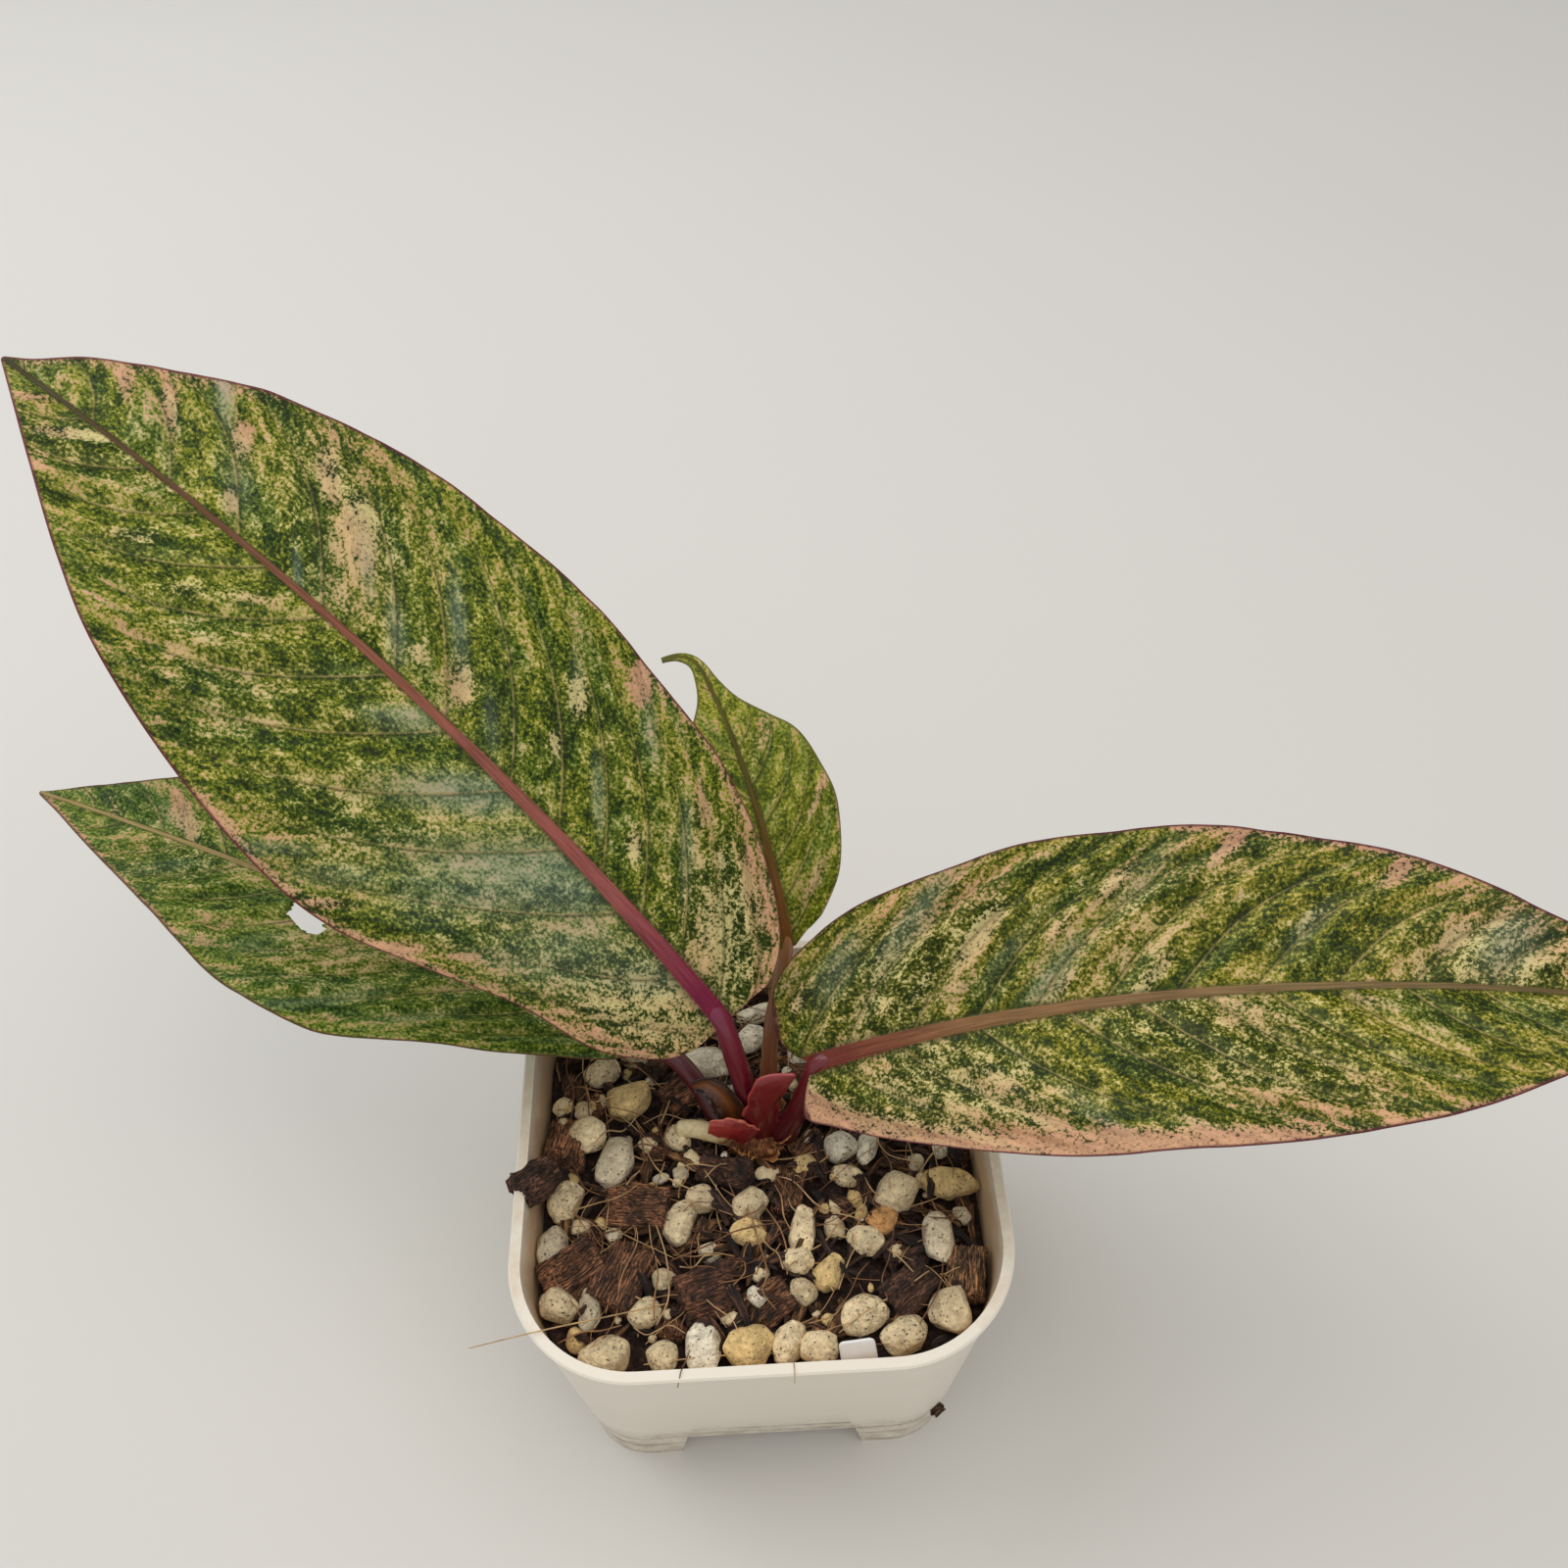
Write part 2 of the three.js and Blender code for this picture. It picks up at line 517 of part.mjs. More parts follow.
// A pebble with few faces, squashed and a little uneven.
function stone({ x, y, long, wide, turn }, draw) {
  const geometry = new THREE.IcosahedronGeometry(1, 0);
  geometry.deleteAttribute('normal');
  geometry.deleteAttribute('uv');
  const pebble = mergeVertices(geometry);
  const place = pebble.attributes.position;
  for (let k = 0; k < place.count; k += 1) {
    const swell = draw(...STONE_SWELL);
    place.setXYZ(k, place.getX(k) * swell, place.getY(k) * swell, place.getZ(k) * swell);
  }
  pebble.scale(long / 2, wide / 2, wide * STONE_HEIGHT / 2);
  pebble.rotateX(draw(-TILT, TILT));
  pebble.rotateZ(radians(turn));
  pebble.translate(x, y, MIX_LEVEL + wide * STONE_LIFT);
  return toManifold(pebble);
}

// A flat block of coconut husk, lying at a slant.
function chip({ x, y, long, wide, turn }, draw) {
  const block = new THREE.BoxGeometry(long, wide, CHIP_THICKNESS);
  block.rotateX(draw(-TILT, TILT));
  block.rotateY(draw(-TILT, TILT));
  block.rotateZ(radians(turn));
  block.translate(x, y, MIX_LEVEL + CHIP_LIFT);
  return toManifold(block);
}

// Small stones and chips fill the free places between the large ones.
function fillers(count, sizes, taken, draw) {
  const found = [];
  for (let tries = 0; tries < FILLER_TRIES && found.length < count; tries += 1) {
    const long = draw(...sizes);
    const [x, y] = [draw(-MIX_REACH, MIX_REACH), draw(-MIX_REACH, MIX_REACH)];
    const item = { x, y, long, wide: long * draw(...FILLER_WIDTH), turn: draw(0, 180) };
    const clear = [...taken, ...found].every((other) => (
      Math.hypot(item.x - other.x, item.y - other.y) > FILLER_SPACING * (item.long + other.long)));
    const offStem = Math.hypot(item.x - STEM.x, item.y - STEM.y) > STEM_CLEARING + long / 2;
    if (clear && offStem) found.push(item);
  }
  return found;
}

function pottingMix(planted) {
  const draw = seededDraw(MIX_SEED);
  const large = [...LARGE_STONES, ...LARGE_CHIPS];
  const smallStones = fillers(EXTRA_STONES, STONE_SIZE, large, draw);
  const smallChips = fillers(EXTRA_CHIPS, CHIP_SIZE, [...large, ...smallStones], draw);
  const heap = [
    ...[...LARGE_STONES, ...smallStones].map((item) => stone(item, draw)),
    ...[...LARGE_CHIPS, ...smallChips].map((item) => chip(item, draw)),
  ];
  const ground = hollow(FLOOR + GAP, MIX_LEVEL, GAP);
  const room = hollow(FLOOR + GAP, MIX_TOP_LIMIT, GAP);
  const filled = join(ground, ...heap).intersect(room);
  return largest(cut(filled, ...sideOpenings(WALL + GAP), ...planted));
}

// Stem with its roots

function stemAndRoots(grow) {
  const { x, y, radius, foot, waist, shoulder, top, taper } = STEM;
  const profile = [[0, foot - grow], [radius * taper + grow, foot - grow], [radius + grow, waist],
    [radius + grow, shoulder], [radius * taper + grow, top + grow], [0, top + grow]];
  const body = new THREE.LatheGeometry(profile.map(([r, z]) => new THREE.Vector2(r, z)), 14);
  body.rotateX(Math.PI / 2);
  body.translate(x, y, 0);
  const roots = Array.from({ length: ROOT_COUNT }, (_, k) => {
    const angle = (k + 0.35) / ROOT_COUNT * 2 * Math.PI;
    const reach = ROOT_REACH * (k % 2 ? 0.72 : 1);
    const drop = ROOT_DROP * (k % 2 ? 1.2 : 1);
    const along = [[0.1, 8], [0.45, 2], [0.85, -0.45 * drop], [1, -drop]];
    const points = along.map(([s, z]) => (
      [x + s * reach * Math.cos(angle), y + s * reach * Math.sin(angle), foot + z]));
    return stalk({ points, radius: [ROOT_RADIUS * 1.2, ROOT_RADIUS * 0.7] }, { grow, sides: 6, steps: 6 });
  });
  return join(toManifold(body), ...roots);
}

function label(grow) {
  const { x, y, width, thickness, length, top, lean } = LABEL;
  const tag = new THREE.BoxGeometry(width + 2 * grow, thickness + 2 * grow, length + 2 * grow);
  tag.translate(0, 0, -length / 2);
  tag.rotateX(radians(lean));
  tag.translate(x, y, top);
  return toManifold(tag);
}

// Assembly: each piece is cut clear of what it holds or wraps.

const names = Object.keys(PETIOLES);
const petioles = names.map((name) => stalk(PETIOLES[name]));
const petioleRoom = names.map((name) => stalk(PETIOLES[name], { grow: GAP }));
const bractFront = cut(bract(BRACTS.bract_front), ...petioleRoom);
const bractFrontRoom = bract(BRACTS.bract_front, GAP);
const bractLeft = cut(bract(BRACTS.bract_left), ...petioleRoom, bractFrontRoom);
const bractLeftRoom = bract(BRACTS.bract_left, GAP);
const drySheath = cut(bract(BRACTS.dry_sheath), ...petioleRoom, bractLeftRoom, bractFrontRoom);
const drySheathRoom = bract(BRACTS.dry_sheath, GAP);
const aerialRoom = stalk(AERIAL_ROOT, { grow: GAP, steps: 6 });
const onStem = [...petioleRoom, bractFrontRoom, bractLeftRoom, drySheathRoom, aerialRoom];

const colours = {
  pot: 0xece7de, mix: 0x8a6a50, stem: 0x8c5a32, aerial: 0xd8c190, label: 0xf1f0ec, sheath: 0x4e2c1c,
  petiole: { a: 0x7c1a2e, b: 0x6a1a26, c: 0x8a5230, d: 0x7a2230 },
  leaf: { a: 0x6d7f4a, b: 0x3f6426, c: 0x8f9c34, d: 0x5c6f3c }, bract: 0x9a2436,
};

const plant = new THREE.Group();

function add(name, manifold, color, roughness = 0.6) {
  const material = new THREE.MeshStandardMaterial({ color, roughness, metalness: 0 });
  const mesh = new THREE.Mesh(toGeometry(manifold), material);
  mesh.name = name;
  plant.add(mesh);
}

add('pot', pot(), colours.pot, 0.45);
add('potting_mix', pottingMix([...onStem, stemAndRoots(GAP), label(GAP)]), colours.mix, 0.95);
add('stem_and_roots', largest(cut(stemAndRoots(0), ...onStem)), colours.stem, 0.9);
add('aerial_root', cut(stalk(AERIAL_ROOT, { steps: 6 }), ...petioleRoom), colours.aerial, 0.6);
names.forEach((name, k) => {
  add(`petiole_${name}`, petioles[k], colours.petiole[name], 0.4);
  add(`leaf_${name}`, largest(cut(blade(LEAVES[name]), petioleRoom[k])), colours.leaf[name], 0.45);
});
add('bract_front', largest(bractFront), colours.bract, 0.5);
add('bract_left', largest(bractLeft), colours.bract, 0.5);
add('dry_sheath', largest(drySheath), colours.sheath, 0.8);
add('plant_label', label(0), colours.label, 0.4);

export default plant;
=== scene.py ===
import math
import random

import bmesh
import bpy
import numpy as np
from mathutils import Matrix, Vector, noise


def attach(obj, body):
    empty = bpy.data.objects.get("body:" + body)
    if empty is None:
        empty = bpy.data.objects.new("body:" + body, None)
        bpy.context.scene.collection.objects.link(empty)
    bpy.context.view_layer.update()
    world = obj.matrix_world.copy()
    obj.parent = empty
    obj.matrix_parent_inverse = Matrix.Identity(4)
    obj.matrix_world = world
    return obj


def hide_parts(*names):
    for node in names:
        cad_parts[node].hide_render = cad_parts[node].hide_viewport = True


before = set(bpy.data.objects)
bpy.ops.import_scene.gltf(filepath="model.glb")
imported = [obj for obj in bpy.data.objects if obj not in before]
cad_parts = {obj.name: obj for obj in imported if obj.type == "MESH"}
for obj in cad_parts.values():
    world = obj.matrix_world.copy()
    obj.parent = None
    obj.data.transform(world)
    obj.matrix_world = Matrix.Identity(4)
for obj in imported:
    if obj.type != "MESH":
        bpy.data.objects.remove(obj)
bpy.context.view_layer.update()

MM = 0.001

# camera, floor and light

# The camera looks down on the front of the pot, as the photograph does. Lengths here are millimetres.
LOOK_AT = Vector((11.25, 104.47, 70.0))
DISTANCE = 389.5
AZIMUTH, ELEVATION, ROLL = -2.09, 47.22, -1.16
FOCAL_SHARE = 1480 / 1600
SENSOR = 36


def place_camera():
    """A camera at the photograph's angle, from the values above."""
    az, el, roll = (math.radians(v) for v in (AZIMUTH, ELEVATION, ROLL))
    back = Vector((math.sin(az) * math.cos(el), -math.cos(az) * math.cos(el), math.sin(el)))
    right = Vector((math.cos(az), math.sin(az), 0))
    up = back.cross(right)
    turned = right * math.cos(roll) + up * math.sin(roll)
    upright = up * math.cos(roll) - right * math.sin(roll)
    data = bpy.data.cameras.new("camera")
    data.sensor_width = SENSOR
    data.lens = SENSOR * FOCAL_SHARE
    data.clip_start = 0.01
    camera = bpy.data.objects.new("camera", data)
    turn = Matrix((turned, upright, back)).transposed().to_4x4()
    camera.matrix_world = Matrix.Translation((LOOK_AT + back * DISTANCE) * MM) @ turn
    bpy.context.scene.collection.objects.link(camera)
    bpy.context.scene.camera = camera


def srgb(code):
    """A colour from its sRGB hex code, in linear light and opaque."""
    values = [int(code[i:i + 2], 16) / 255 for i in (1, 3, 5)]
    return tuple(v / 12.92 if v <= 0.04045 else ((v + 0.055) / 1.055) ** 2.4 for v in values) + (1.0,)


def area_light(name, place, aim, size, watts, colour):
    """A round soft light at a place, turned towards its aim, in metres."""
    data = bpy.data.lights.new(name, "AREA")
    data.shape = "DISK"
    data.size = size
    data.energy = watts
    data.color = srgb(colour)[:3]
    light = bpy.data.objects.new(name, data)
    light.location = place
    light.rotation_euler = (Vector(aim) - Vector(place)).to_track_quat("-Z", "Y").to_euler()
    bpy.context.scene.collection.objects.link(light)


def light_studio():
    """Even pale light from all round, a large cool light at the back left and a large warm one overhead."""
    world = bpy.data.worlds.new("studio")
    world.use_nodes = True
    around = world.node_tree.nodes["Background"].inputs
    around["Color"].default_value = srgb("#f3f4f5")
    around["Strength"].default_value = 0.6
    bpy.context.scene.world = world
    area_light("window", (-0.75, 0.55, 1.05), (0, 0, 0.08), 1.3, 7.8, "#fbfcff")
    area_light("ceiling", (0.25, -0.25, 1.35), (0, 0, 0.08), 1.3, 5.8, "#fffaf4")
    bpy.context.scene.view_settings.view_transform = "Standard"


# nodes and meshes

def add(tree, kind, inputs=None, stops=None, **settings):
    """A node with its settings, and the numbers, colours or other nodes' outputs for its sockets."""
    node = tree.nodes.new(kind)
    for key, value in settings.items():
        setattr(node, key, value)
    for key, value in (inputs or {}).items():
        if isinstance(value, bpy.types.NodeSocket):
            tree.links.new(value, node.inputs[key])
        else:
            node.inputs[key].default_value = value
    if stops:
        ramp = node.color_ramp
        while len(ramp.elements) < len(stops):
            ramp.elements.new(0.5)
        for element, (place, colour) in zip(ramp.elements, stops):
            element.position = place
            element.color = srgb(colour) if isinstance(colour, str) else (colour, colour, colour, 1)
    return node


def new_material(name, **finish):
    """A material with a plain shader, and its tree. finish sets constants on the shader's own sockets."""
    material = bpy.data.materials.new(name)
    material.use_nodes = True
    tree = material.node_tree
    shader = tree.nodes["Principled BSDF"]
    for key, value in finish.items():
        shader.inputs[key.replace("_", " ")].default_value = value
    return material, tree, shader


def mesh_object(name, points, faces, materials, values=None, indices=None, smooth=True):
    """An object from points in millimetres, with per-point values by name for the materials to read."""
    mesh = bpy.data.meshes.new(name)
    mesh.from_pydata([tuple(p) for p in np.asarray(points) * MM], [], [tuple(f) for f in faces])
    for key, numbers in (values or {}).items():
        numbers = np.asarray(numbers, float)
        kind = "FLOAT" if numbers.ndim == 1 else "FLOAT_VECTOR"
        layer = mesh.attributes.new(key, kind, "POINT")
        layer.data.foreach_set("value" if numbers.ndim == 1 else "vector", numbers.ravel())
    for material in materials:
        mesh.materials.append(material)
    if indices is not None:
        mesh.polygons.foreach_set("material_index", indices)
    mesh.polygons.foreach_set("use_smooth", [smooth] * len(mesh.polygons))
    mesh.validate()
    mesh.update()
    piece = bpy.data.objects.new(name, mesh)
    bpy.context.scene.collection.objects.link(piece)
    return piece


def hand_over(piece, slot, *nodes):
    """The piece rides on the plant's one body and stands for its CAD nodes, which it hides. slot is not used.
    """
    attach(piece, "root")
    if nodes:
        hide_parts(*nodes)


def assemble(name, parts, material, slot, *nodes):
    """One piece made of several parts, handed over."""
    points, faces, values = gather(parts)
    hand_over(mesh_object(name, points, faces, [material], values), slot, *nodes)


def wobble(points, size, depth=2, seed=0.0):
    """Smooth noise, about -1 to 1, at each point, with features of the given size in millimetres."""
    return np.array([noise.fractal(Vector(p) / size + Vector((seed, seed * 1.7, -seed)), 1.0, 2.0, depth)
                     for p in points])


# curves

def centripetal(points, count):
    """Evenly spaced points on the smooth curve through the given ones, with their place from 0 to 1."""
    p = np.asarray(points, float)
    p = np.vstack([2 * p[0] - p[1], p, 2 * p[-1] - p[-2]])
    fine = []
    for k in range(1, len(p) - 2):
        steps = [np.sqrt(np.linalg.norm(p[k + i] - p[k + i - 1])) for i in (0, 1, 2)]
        a = (p[k] - p[k - 1]) / steps[0] - (p[k + 1] - p[k - 1]) / (steps[0] + steps[1]) \
            + (p[k + 1] - p[k]) / steps[1]
        b = (p[k + 1] - p[k]) / steps[1] - (p[k + 2] - p[k]) / (steps[1] + steps[2]) \
            + (p[k + 2] - p[k + 1]) / steps[2]
        a, b = a * steps[1], b * steps[1]
        for t in np.linspace(0, 1, 24, endpoint=k == len(p) - 3):
            fine.append(p[k] * (2 * t ** 3 - 3 * t ** 2 + 1) + a * (t ** 3 - 2 * t ** 2 + t)
                        + p[k + 1] * (3 * t ** 2 - 2 * t ** 3) + b * (t ** 3 - t ** 2))
    fine = np.array(fine)
    run = np.concatenate([[0], np.cumsum(np.linalg.norm(np.diff(fine, axis=0), axis=1))])
    at = np.linspace(0, run[-1], count)
    return np.stack([np.interp(at, run, fine[:, i]) for i in range(fine.shape[1])], 1), at / run[-1]


def tube(centres, radii, sides, squash=1.0):
    """Points and faces of a closed tube along centres, which carries its direction without twisting."""
    centres = np.asarray(centres, float)
    tangents = np.gradient(centres, axis=0)
    tangents /= np.linalg.norm(tangents, axis=1)[:, None]
    side = np.cross(tangents[0], [0.2, 0.1, 1.0])
    points, around = [], np.linspace(0, 2 * math.pi, sides, endpoint=False)
    for centre, tangent, radius in zip(centres, tangents, radii):
        side = side - tangent * side.dot(tangent)
        side /= np.linalg.norm(side)
        other = np.cross(tangent, side)
        points.append(centre + radius * (np.outer(np.cos(around), side)
                                         + squash * np.outer(np.sin(around), other)))
    points = np.vstack(points + [centres[:1], centres[-1:]])
    faces, rings = [], len(centres)
    for i in range(rings - 1):
        for j in range(sides):
            a, b = i * sides + j, i * sides + (j + 1) % sides
            faces.append((a, b, b + sides, a + sides))
    first, last = rings * sides, rings * sides + 1
    for j in range(sides):
        k = (j + 1) % sides
        faces.append((k, j, first))
        faces.append(((rings - 1) * sides + j, (rings - 1) * sides + k, last))
    return points, faces


def gather(parts):
    """One set of points and faces, and of values by name, from several."""
    points, faces, values, offset = [], [], {}, 0
    for part_points, part_faces, part_values in parts:
        points.append(part_points)
        faces += [tuple(i + offset for i in face) for face in part_faces]
        for key, numbers in part_values.items():
            values.setdefault(key, []).append(numbers)
        offset += len(part_points)
    return np.vstack(points), faces, {key: np.concatenate(v) for key, v in values.items()}


# leaf blades

# Each blade lies along its midrib: x runs from the petiole to the tip and y out to the left. heading and
# climb point the midrib at its base, turn and droop are what they change by up to the tip. roll is the
# bank at the base and the tip, fold is how far the left and right halves rise.
BLADE_THICKNESS = 0.8
EDGE_THICKNESS = 0.35
CAMBER = 0.0012
MIDRIB_STEPS = 60
# the lobes behind the stalk take up this share of the outline's rows, blended into the rest
LOBE_SHARE, LOBE_BLEND = 0.3, 0.12
RIPPLE_RATE, RIPPLE_SHIFT = 30, 2
HOLE_REACH = 0.62
# A lateral vein leaves the midrib at a slant and bends towards the tip: forward by a share of its height
# over the midrib, and by the bend's millimetres where it meets the margin.
VEIN_BEND = 24
BEND_WIDTH = 30
# a slanting vein's true distance, as a share of the distance measured along the midrib
VEIN_SLANT = 0.77
BLOTCH_SLANT = 42
CREASE = 0.85
CREASE_REACH = 2.4
# the midrib: how it thins towards the tip, its fade-in over the stalk, its spread, and its height over and
# under the blade, both as shares of its half width
RIB_TAPER = 2.1
RIB_START = 4
RIB_SPREAD = 1.1
RIB_RISE, RIB_DROP = 0.55, 0.9

# left and right: the outline from base to tip. sweep: the slant of the veins, and veins: where they leave
# the midrib, on the left and the right. pale, and painted_sheen for the painted bluish sheen: x, y,
# length along the veins, width, strength. bands: side, start, end, width at the start and the end, strength.

LEAVES = {
    "a": dict(
        base=(-6.6, 13.5, 96), heading=147, climb=50.3, turn=-1, droop=32, length=197,
        roll=(22, 3.2), fold=(9, 15), rib=(2.3, 0.5), ripple=0.9, rows=270, columns=34,
        left=[(-1.2, 2.5), (0, 9.5), (5, 16.5), (17, 24.5), (35, 29.5), (53, 37), (72, 44), (91, 45.5),
              (115, 42), (138, 35.5), (156, 26.5), (173, 16), (187, 7), (197, 0.5)],
        right=[(-1.2, 2.5), (-0.5, 8), (0.5, 14), (7, 21.5), (20, 28.5), (39, 34.5), (62, 37.5),
               (96, 38.5), (128, 34.5), (152, 28), (170, 19), (184, 11), (192, 4), (197, 0.5)],
        sweep=(0.82, 0.85), veins=([-4, 13, 32, 50, 66.3, 83, 98.7, 115, 130, 146, 160, 176],
                                  [2.5, 15, 28, 40, 53, 66.5, 85, 98, 117, 138, 155, 174]),
        pale=[(67, -13, 5, 3.2, 0.8), (70, -22.5, 9, 4, 0.8), (64, -34.6, 8, 4, 1), (20, -23, 13, 3.4, 0.9),
              (12.5, -20, 6, 2.2, 0.7), (27, -21.5, 4, 2.2, 0.8), (41, -10, 6, 3.6, 0.8),
              (37, -25, 9, 3.6, 0.45), (88, -8.5, 10, 5.5, 0.6), (98, -6.5, 3, 2.4, 0.9),
              (122, -17, 16, 6.5, 0.85), (134, -21.5, 14, 5, 0.7), (144, -5.2, 5, 2.6, 0.9),
              (151, -16, 8, 4, 0.7), (166, -12.5, 12, 3, 0.75), (176, -11, 9, 3, 0.6),
              (174, 4.6, 14, 3.8, 0.8), (185, 3, 8, 2.4, 0.5), (136, 15.5, 9, 4, 0.4),
              (150, 13.5, 9, 4, 0.5), (127, 8, 9, 3, 0.4), (62, 40, 14, 2.6, 0.75), (78, 43.5, 16, 2.4, 0.7),
              (50, 30.5, 9, 2, 0.45), (19, 22, 4, 2.2, 0.7), (6, 13.5, 7, 3, 0.6), (36, 19, 4, 2.4, 0.5),
              (63, 17, 6, 2.4, 0.4), (55, 19.5, 6, 2.2, 0.4), (12, 10, 48, 28, 0.52), (12, -14, 44, 28, 0.5),
              (45, 22, 40, 22, 0.2), (128, -20, 70, 24, 0.26), (120, 26, 60, 24, 0.16), (86, 30, 40, 20, 0.2),
              (170, 4, 50, 16, 0.22)],
        bands=[(1, -4, 50, 3.5, 2, 0.42), (1, 50, 104, 3, 1.6, 0.55), (-1, -4, 60, 4, 1.5, 0.42),
               (-1, 150, 190, 3, 2, 0.4)],
        painted_sheen=[(50, 9, 50, 16, 0.9), (72, 7, 30, 8, 0.9), (90, 4, 16, 5, 0.8), (36, 16, 30, 14, 0.6),
               (20, 6, 26, 8, 0.6), (60, 26, 20, 9, 0.4), (78, 36, 18, 5, 0.5), (90, 41, 16, 3, 0.5),
               (97, -17, 16, 3, 0.9),
               (104, -7, 12, 3, 0.8), (78, -6, 12, 3, 0.6), (54, -12, 14, 2.6, 0.8), (34, -18, 18, 2.6, 0.6),
               (116, -12, 12, 2.4, 0.5), (125, -2.5, 9, 1.6, 0.9), (160, -21, 12, 3, 0.9),
               (74, -26, 10, 2.4, 0.4), (57, -30, 12, 3, 0.5), (146, -9, 10, 5, 0.4)],
    ),
    "b": dict(
        base=(-27.4, 23, 79.3), heading=159.4, climb=20, turn=-1.5, droop=16.2, length=148.5,
        roll=(-6.5, 1.8), fold=(14, 14), rib=(2, 0.45), ripple=1.1, rows=200, columns=28,
        left=[(-1.5, 2.2), (-2, 7.5), (3, 13), (15, 19), (32, 26.5), (48, 33), (62, 36.5), (76, 34.5),
              (90, 29), (112, 18), (129, 10), (141, 4), (148.5, 0.5)],
        right=[(-1.5, 2.2), (-2, 7.5), (3, 13), (15, 20), (32, 27), (48, 32.5), (62, 35.5), (76, 34),
               (90, 29.5), (112, 19), (129, 10), (141, 4), (148.5, 0.5)],
        sweep=(0.85, 0.85), veins=([2, 14, 27, 40, 54, 68, 82, 96, 110, 126],
                                   [4, 16, 30, 44, 58, 71, 86, 100, 116]),
        pale=[(112, -4, 16, 4, 0.6), (130, -2, 10, 2, 0.5), (104, 1, 12, 2, 0.5), (90, 20, 8, 3, 0.25),
              (60, 12, 60, 16, 0.14), (145, 1, 4, 1.4, 0.8), (110, 8, 40, 16, 0.2)],
        bands=[(1, 100, 146, 1, 1, 0.6)],
        painted_sheen=[(60, 28, 26, 3, 0.5), (110, 10, 16, 3, 0.3), (78, 18, 12, 4, 0.3), (40, 22, 20, 3, 0.3)],
        hole=[(69.4, 12.2), (72.6, 13.2), (75.6, 11.2), (79.2, 9.2), (80.2, 6), (77.4, 4.2), (73.6, 5),
              (70.4, 8)],
    ),
    "c": dict(
        base=(8.5, 31.8, 96.5), heading=102, climb=56, turn=13, droop=48, length=76,
        roll=(-6, -2), fold=(14, 14), rib=(1.5, 0.4), ripple=0.5, tip=(0.84, 77, 14), rows=150, columns=20,
        left=[(-0.5, 1.7), (2.5, 5.5), (7, 11), (15, 16), (26, 18.5), (37, 17), (46, 13), (52, 8.5),
              (58, 4.5), (64, 2.6), (70, 1.6), (76, 0.5)],
        right=[(-0.5, 1.7), (2.5, 5), (6, 9.5), (14, 14.5), (26, 17.6), (37, 16.8), (45, 14), (50, 9.8),
               (56, 5), (62, 2.6), (69, 1.6), (76, 0.5)],
        sweep=(0.8, 0.8), veins=([0, 8, 16, 24, 33, 42], [2, 10, 18, 27, 36, 45]),
        pale=[(12, -8, 14, 2.6, 0.5), (30, -14, 14, 2, 0.5), (46, -6, 14, 4, 0.3)],
        bands=[(-1, 0, 30, 1.5, 1, 0.5)],
        painted_sheen=[(20, 8, 8, 4, 0.3)],
    ),
    "d": dict(
        base=(13.9, 8.2, 84.8), heading=-7.5, climb=34.7, turn=0.4, droop=46.5, length=184,
        roll=(-26.4, -1.4), fold=(21, 17), rib=(2.2, 0.5), ripple=0.9, rows=260, columns=32,
        left=[(-4.5, 2.8), (-7, 7.5), (-6, 13.4), (-2.5, 19.5), (7, 25), (22, 30.5), (42, 33), (60, 34.7),
              (80, 33.8), (98, 31.5), (117, 27.5), (135, 21.5), (152, 14), (167, 7), (184, 0.5)],
        right=[(-2.2, 2.8), (-3.6, 7.5), (-3, 12), (4, 15.5), (14, 20), (26, 24.2), (44, 29.5), (64, 32.8),
               (90, 33.6), (112, 31.9), (128, 27.6), (144, 20.4), (158, 12.5), (171, 6), (184, 0.5)],
        sweep=(0.85, 0.95), veins=([-5, 7, 23, 37.5, 50, 64, 78, 93, 108, 122, 136, 152],
                                  [4, 19, 37.5, 56, 70, 83.5, 95, 107, 120, 134, 150]),
        pale=[(42.5, 18, 14, 4.6, 1), (28, 10, 16, 3, 0.6), (16, 9, 16, 4, 0.4), (70, 24, 13, 3, 0.6),
              (58, 16, 10, 4, 0.4), (73, 3, 14, 3, 0.6), (56, 4, 9, 3, 0.5), (92, 29.6, 9, 3, 1),
              (121, 22.6, 7, 3, 1), (130, 9.4, 8, 3.6, 0.9), (140, 8, 14, 6, 0.45), (104, 13, 14, 3, 0.5),
              (2, 14, 9, 4, 0.5), (4, 6, 8, 3, 0.4), (-2, -10, 6, 5, 1), (6, -15.5, 9, 3.4, 0.9),
              (18, -20.5, 12, 3, 0.85), (34, -25.5, 14, 3, 0.85), (25, -15, 12, 3, 0.45),
              (42, -13, 14, 4, 0.6), (52, -25.5, 16, 4, 0.8), (66, -30, 14, 3, 0.8),
              (82, -31.5, 14, 2.6, 0.75), (28, -6, 16, 3, 0.4),
              (100, -31, 12, 1.6, 0.5), (88, -17, 5, 3, 0.4), (76, -16, 14, 5, 0.3), (112, -3, 8, 3, 0.4),
              (145, 14, 6, 2.4, 0.6), (160, 4, 12, 4, 0.4), (150, -8, 14, 5, 0.25), (34, -15, 76, 26, 0.4),
              (90, -14, 84, 26, 0.32), (24, 12, 60, 22, 0.34), (80, 22, 60, 16, 0.2), (140, 6, 60, 26, 0.4)],
        bands=[(-1, -6, 96, 10, 3.4, 0.85), (1, 84, 128, 1.6, 1.6, 0.6), (-1, 96, 150, 2, 1, 0.45)],
        painted_sheen=[(12, 18, 16, 6, 0.7), (30, 24, 24, 5, 0.7), (55, 7, 16, 5, 0.6), (140, 9, 14, 8, 0.8),
               (104, 12, 12, 3, 0.5), (47, 13, 14, 3, 0.4), (75, 24, 18, 4, 0.4), (60, -23, 14, 3, 0.4)],
    ),
}


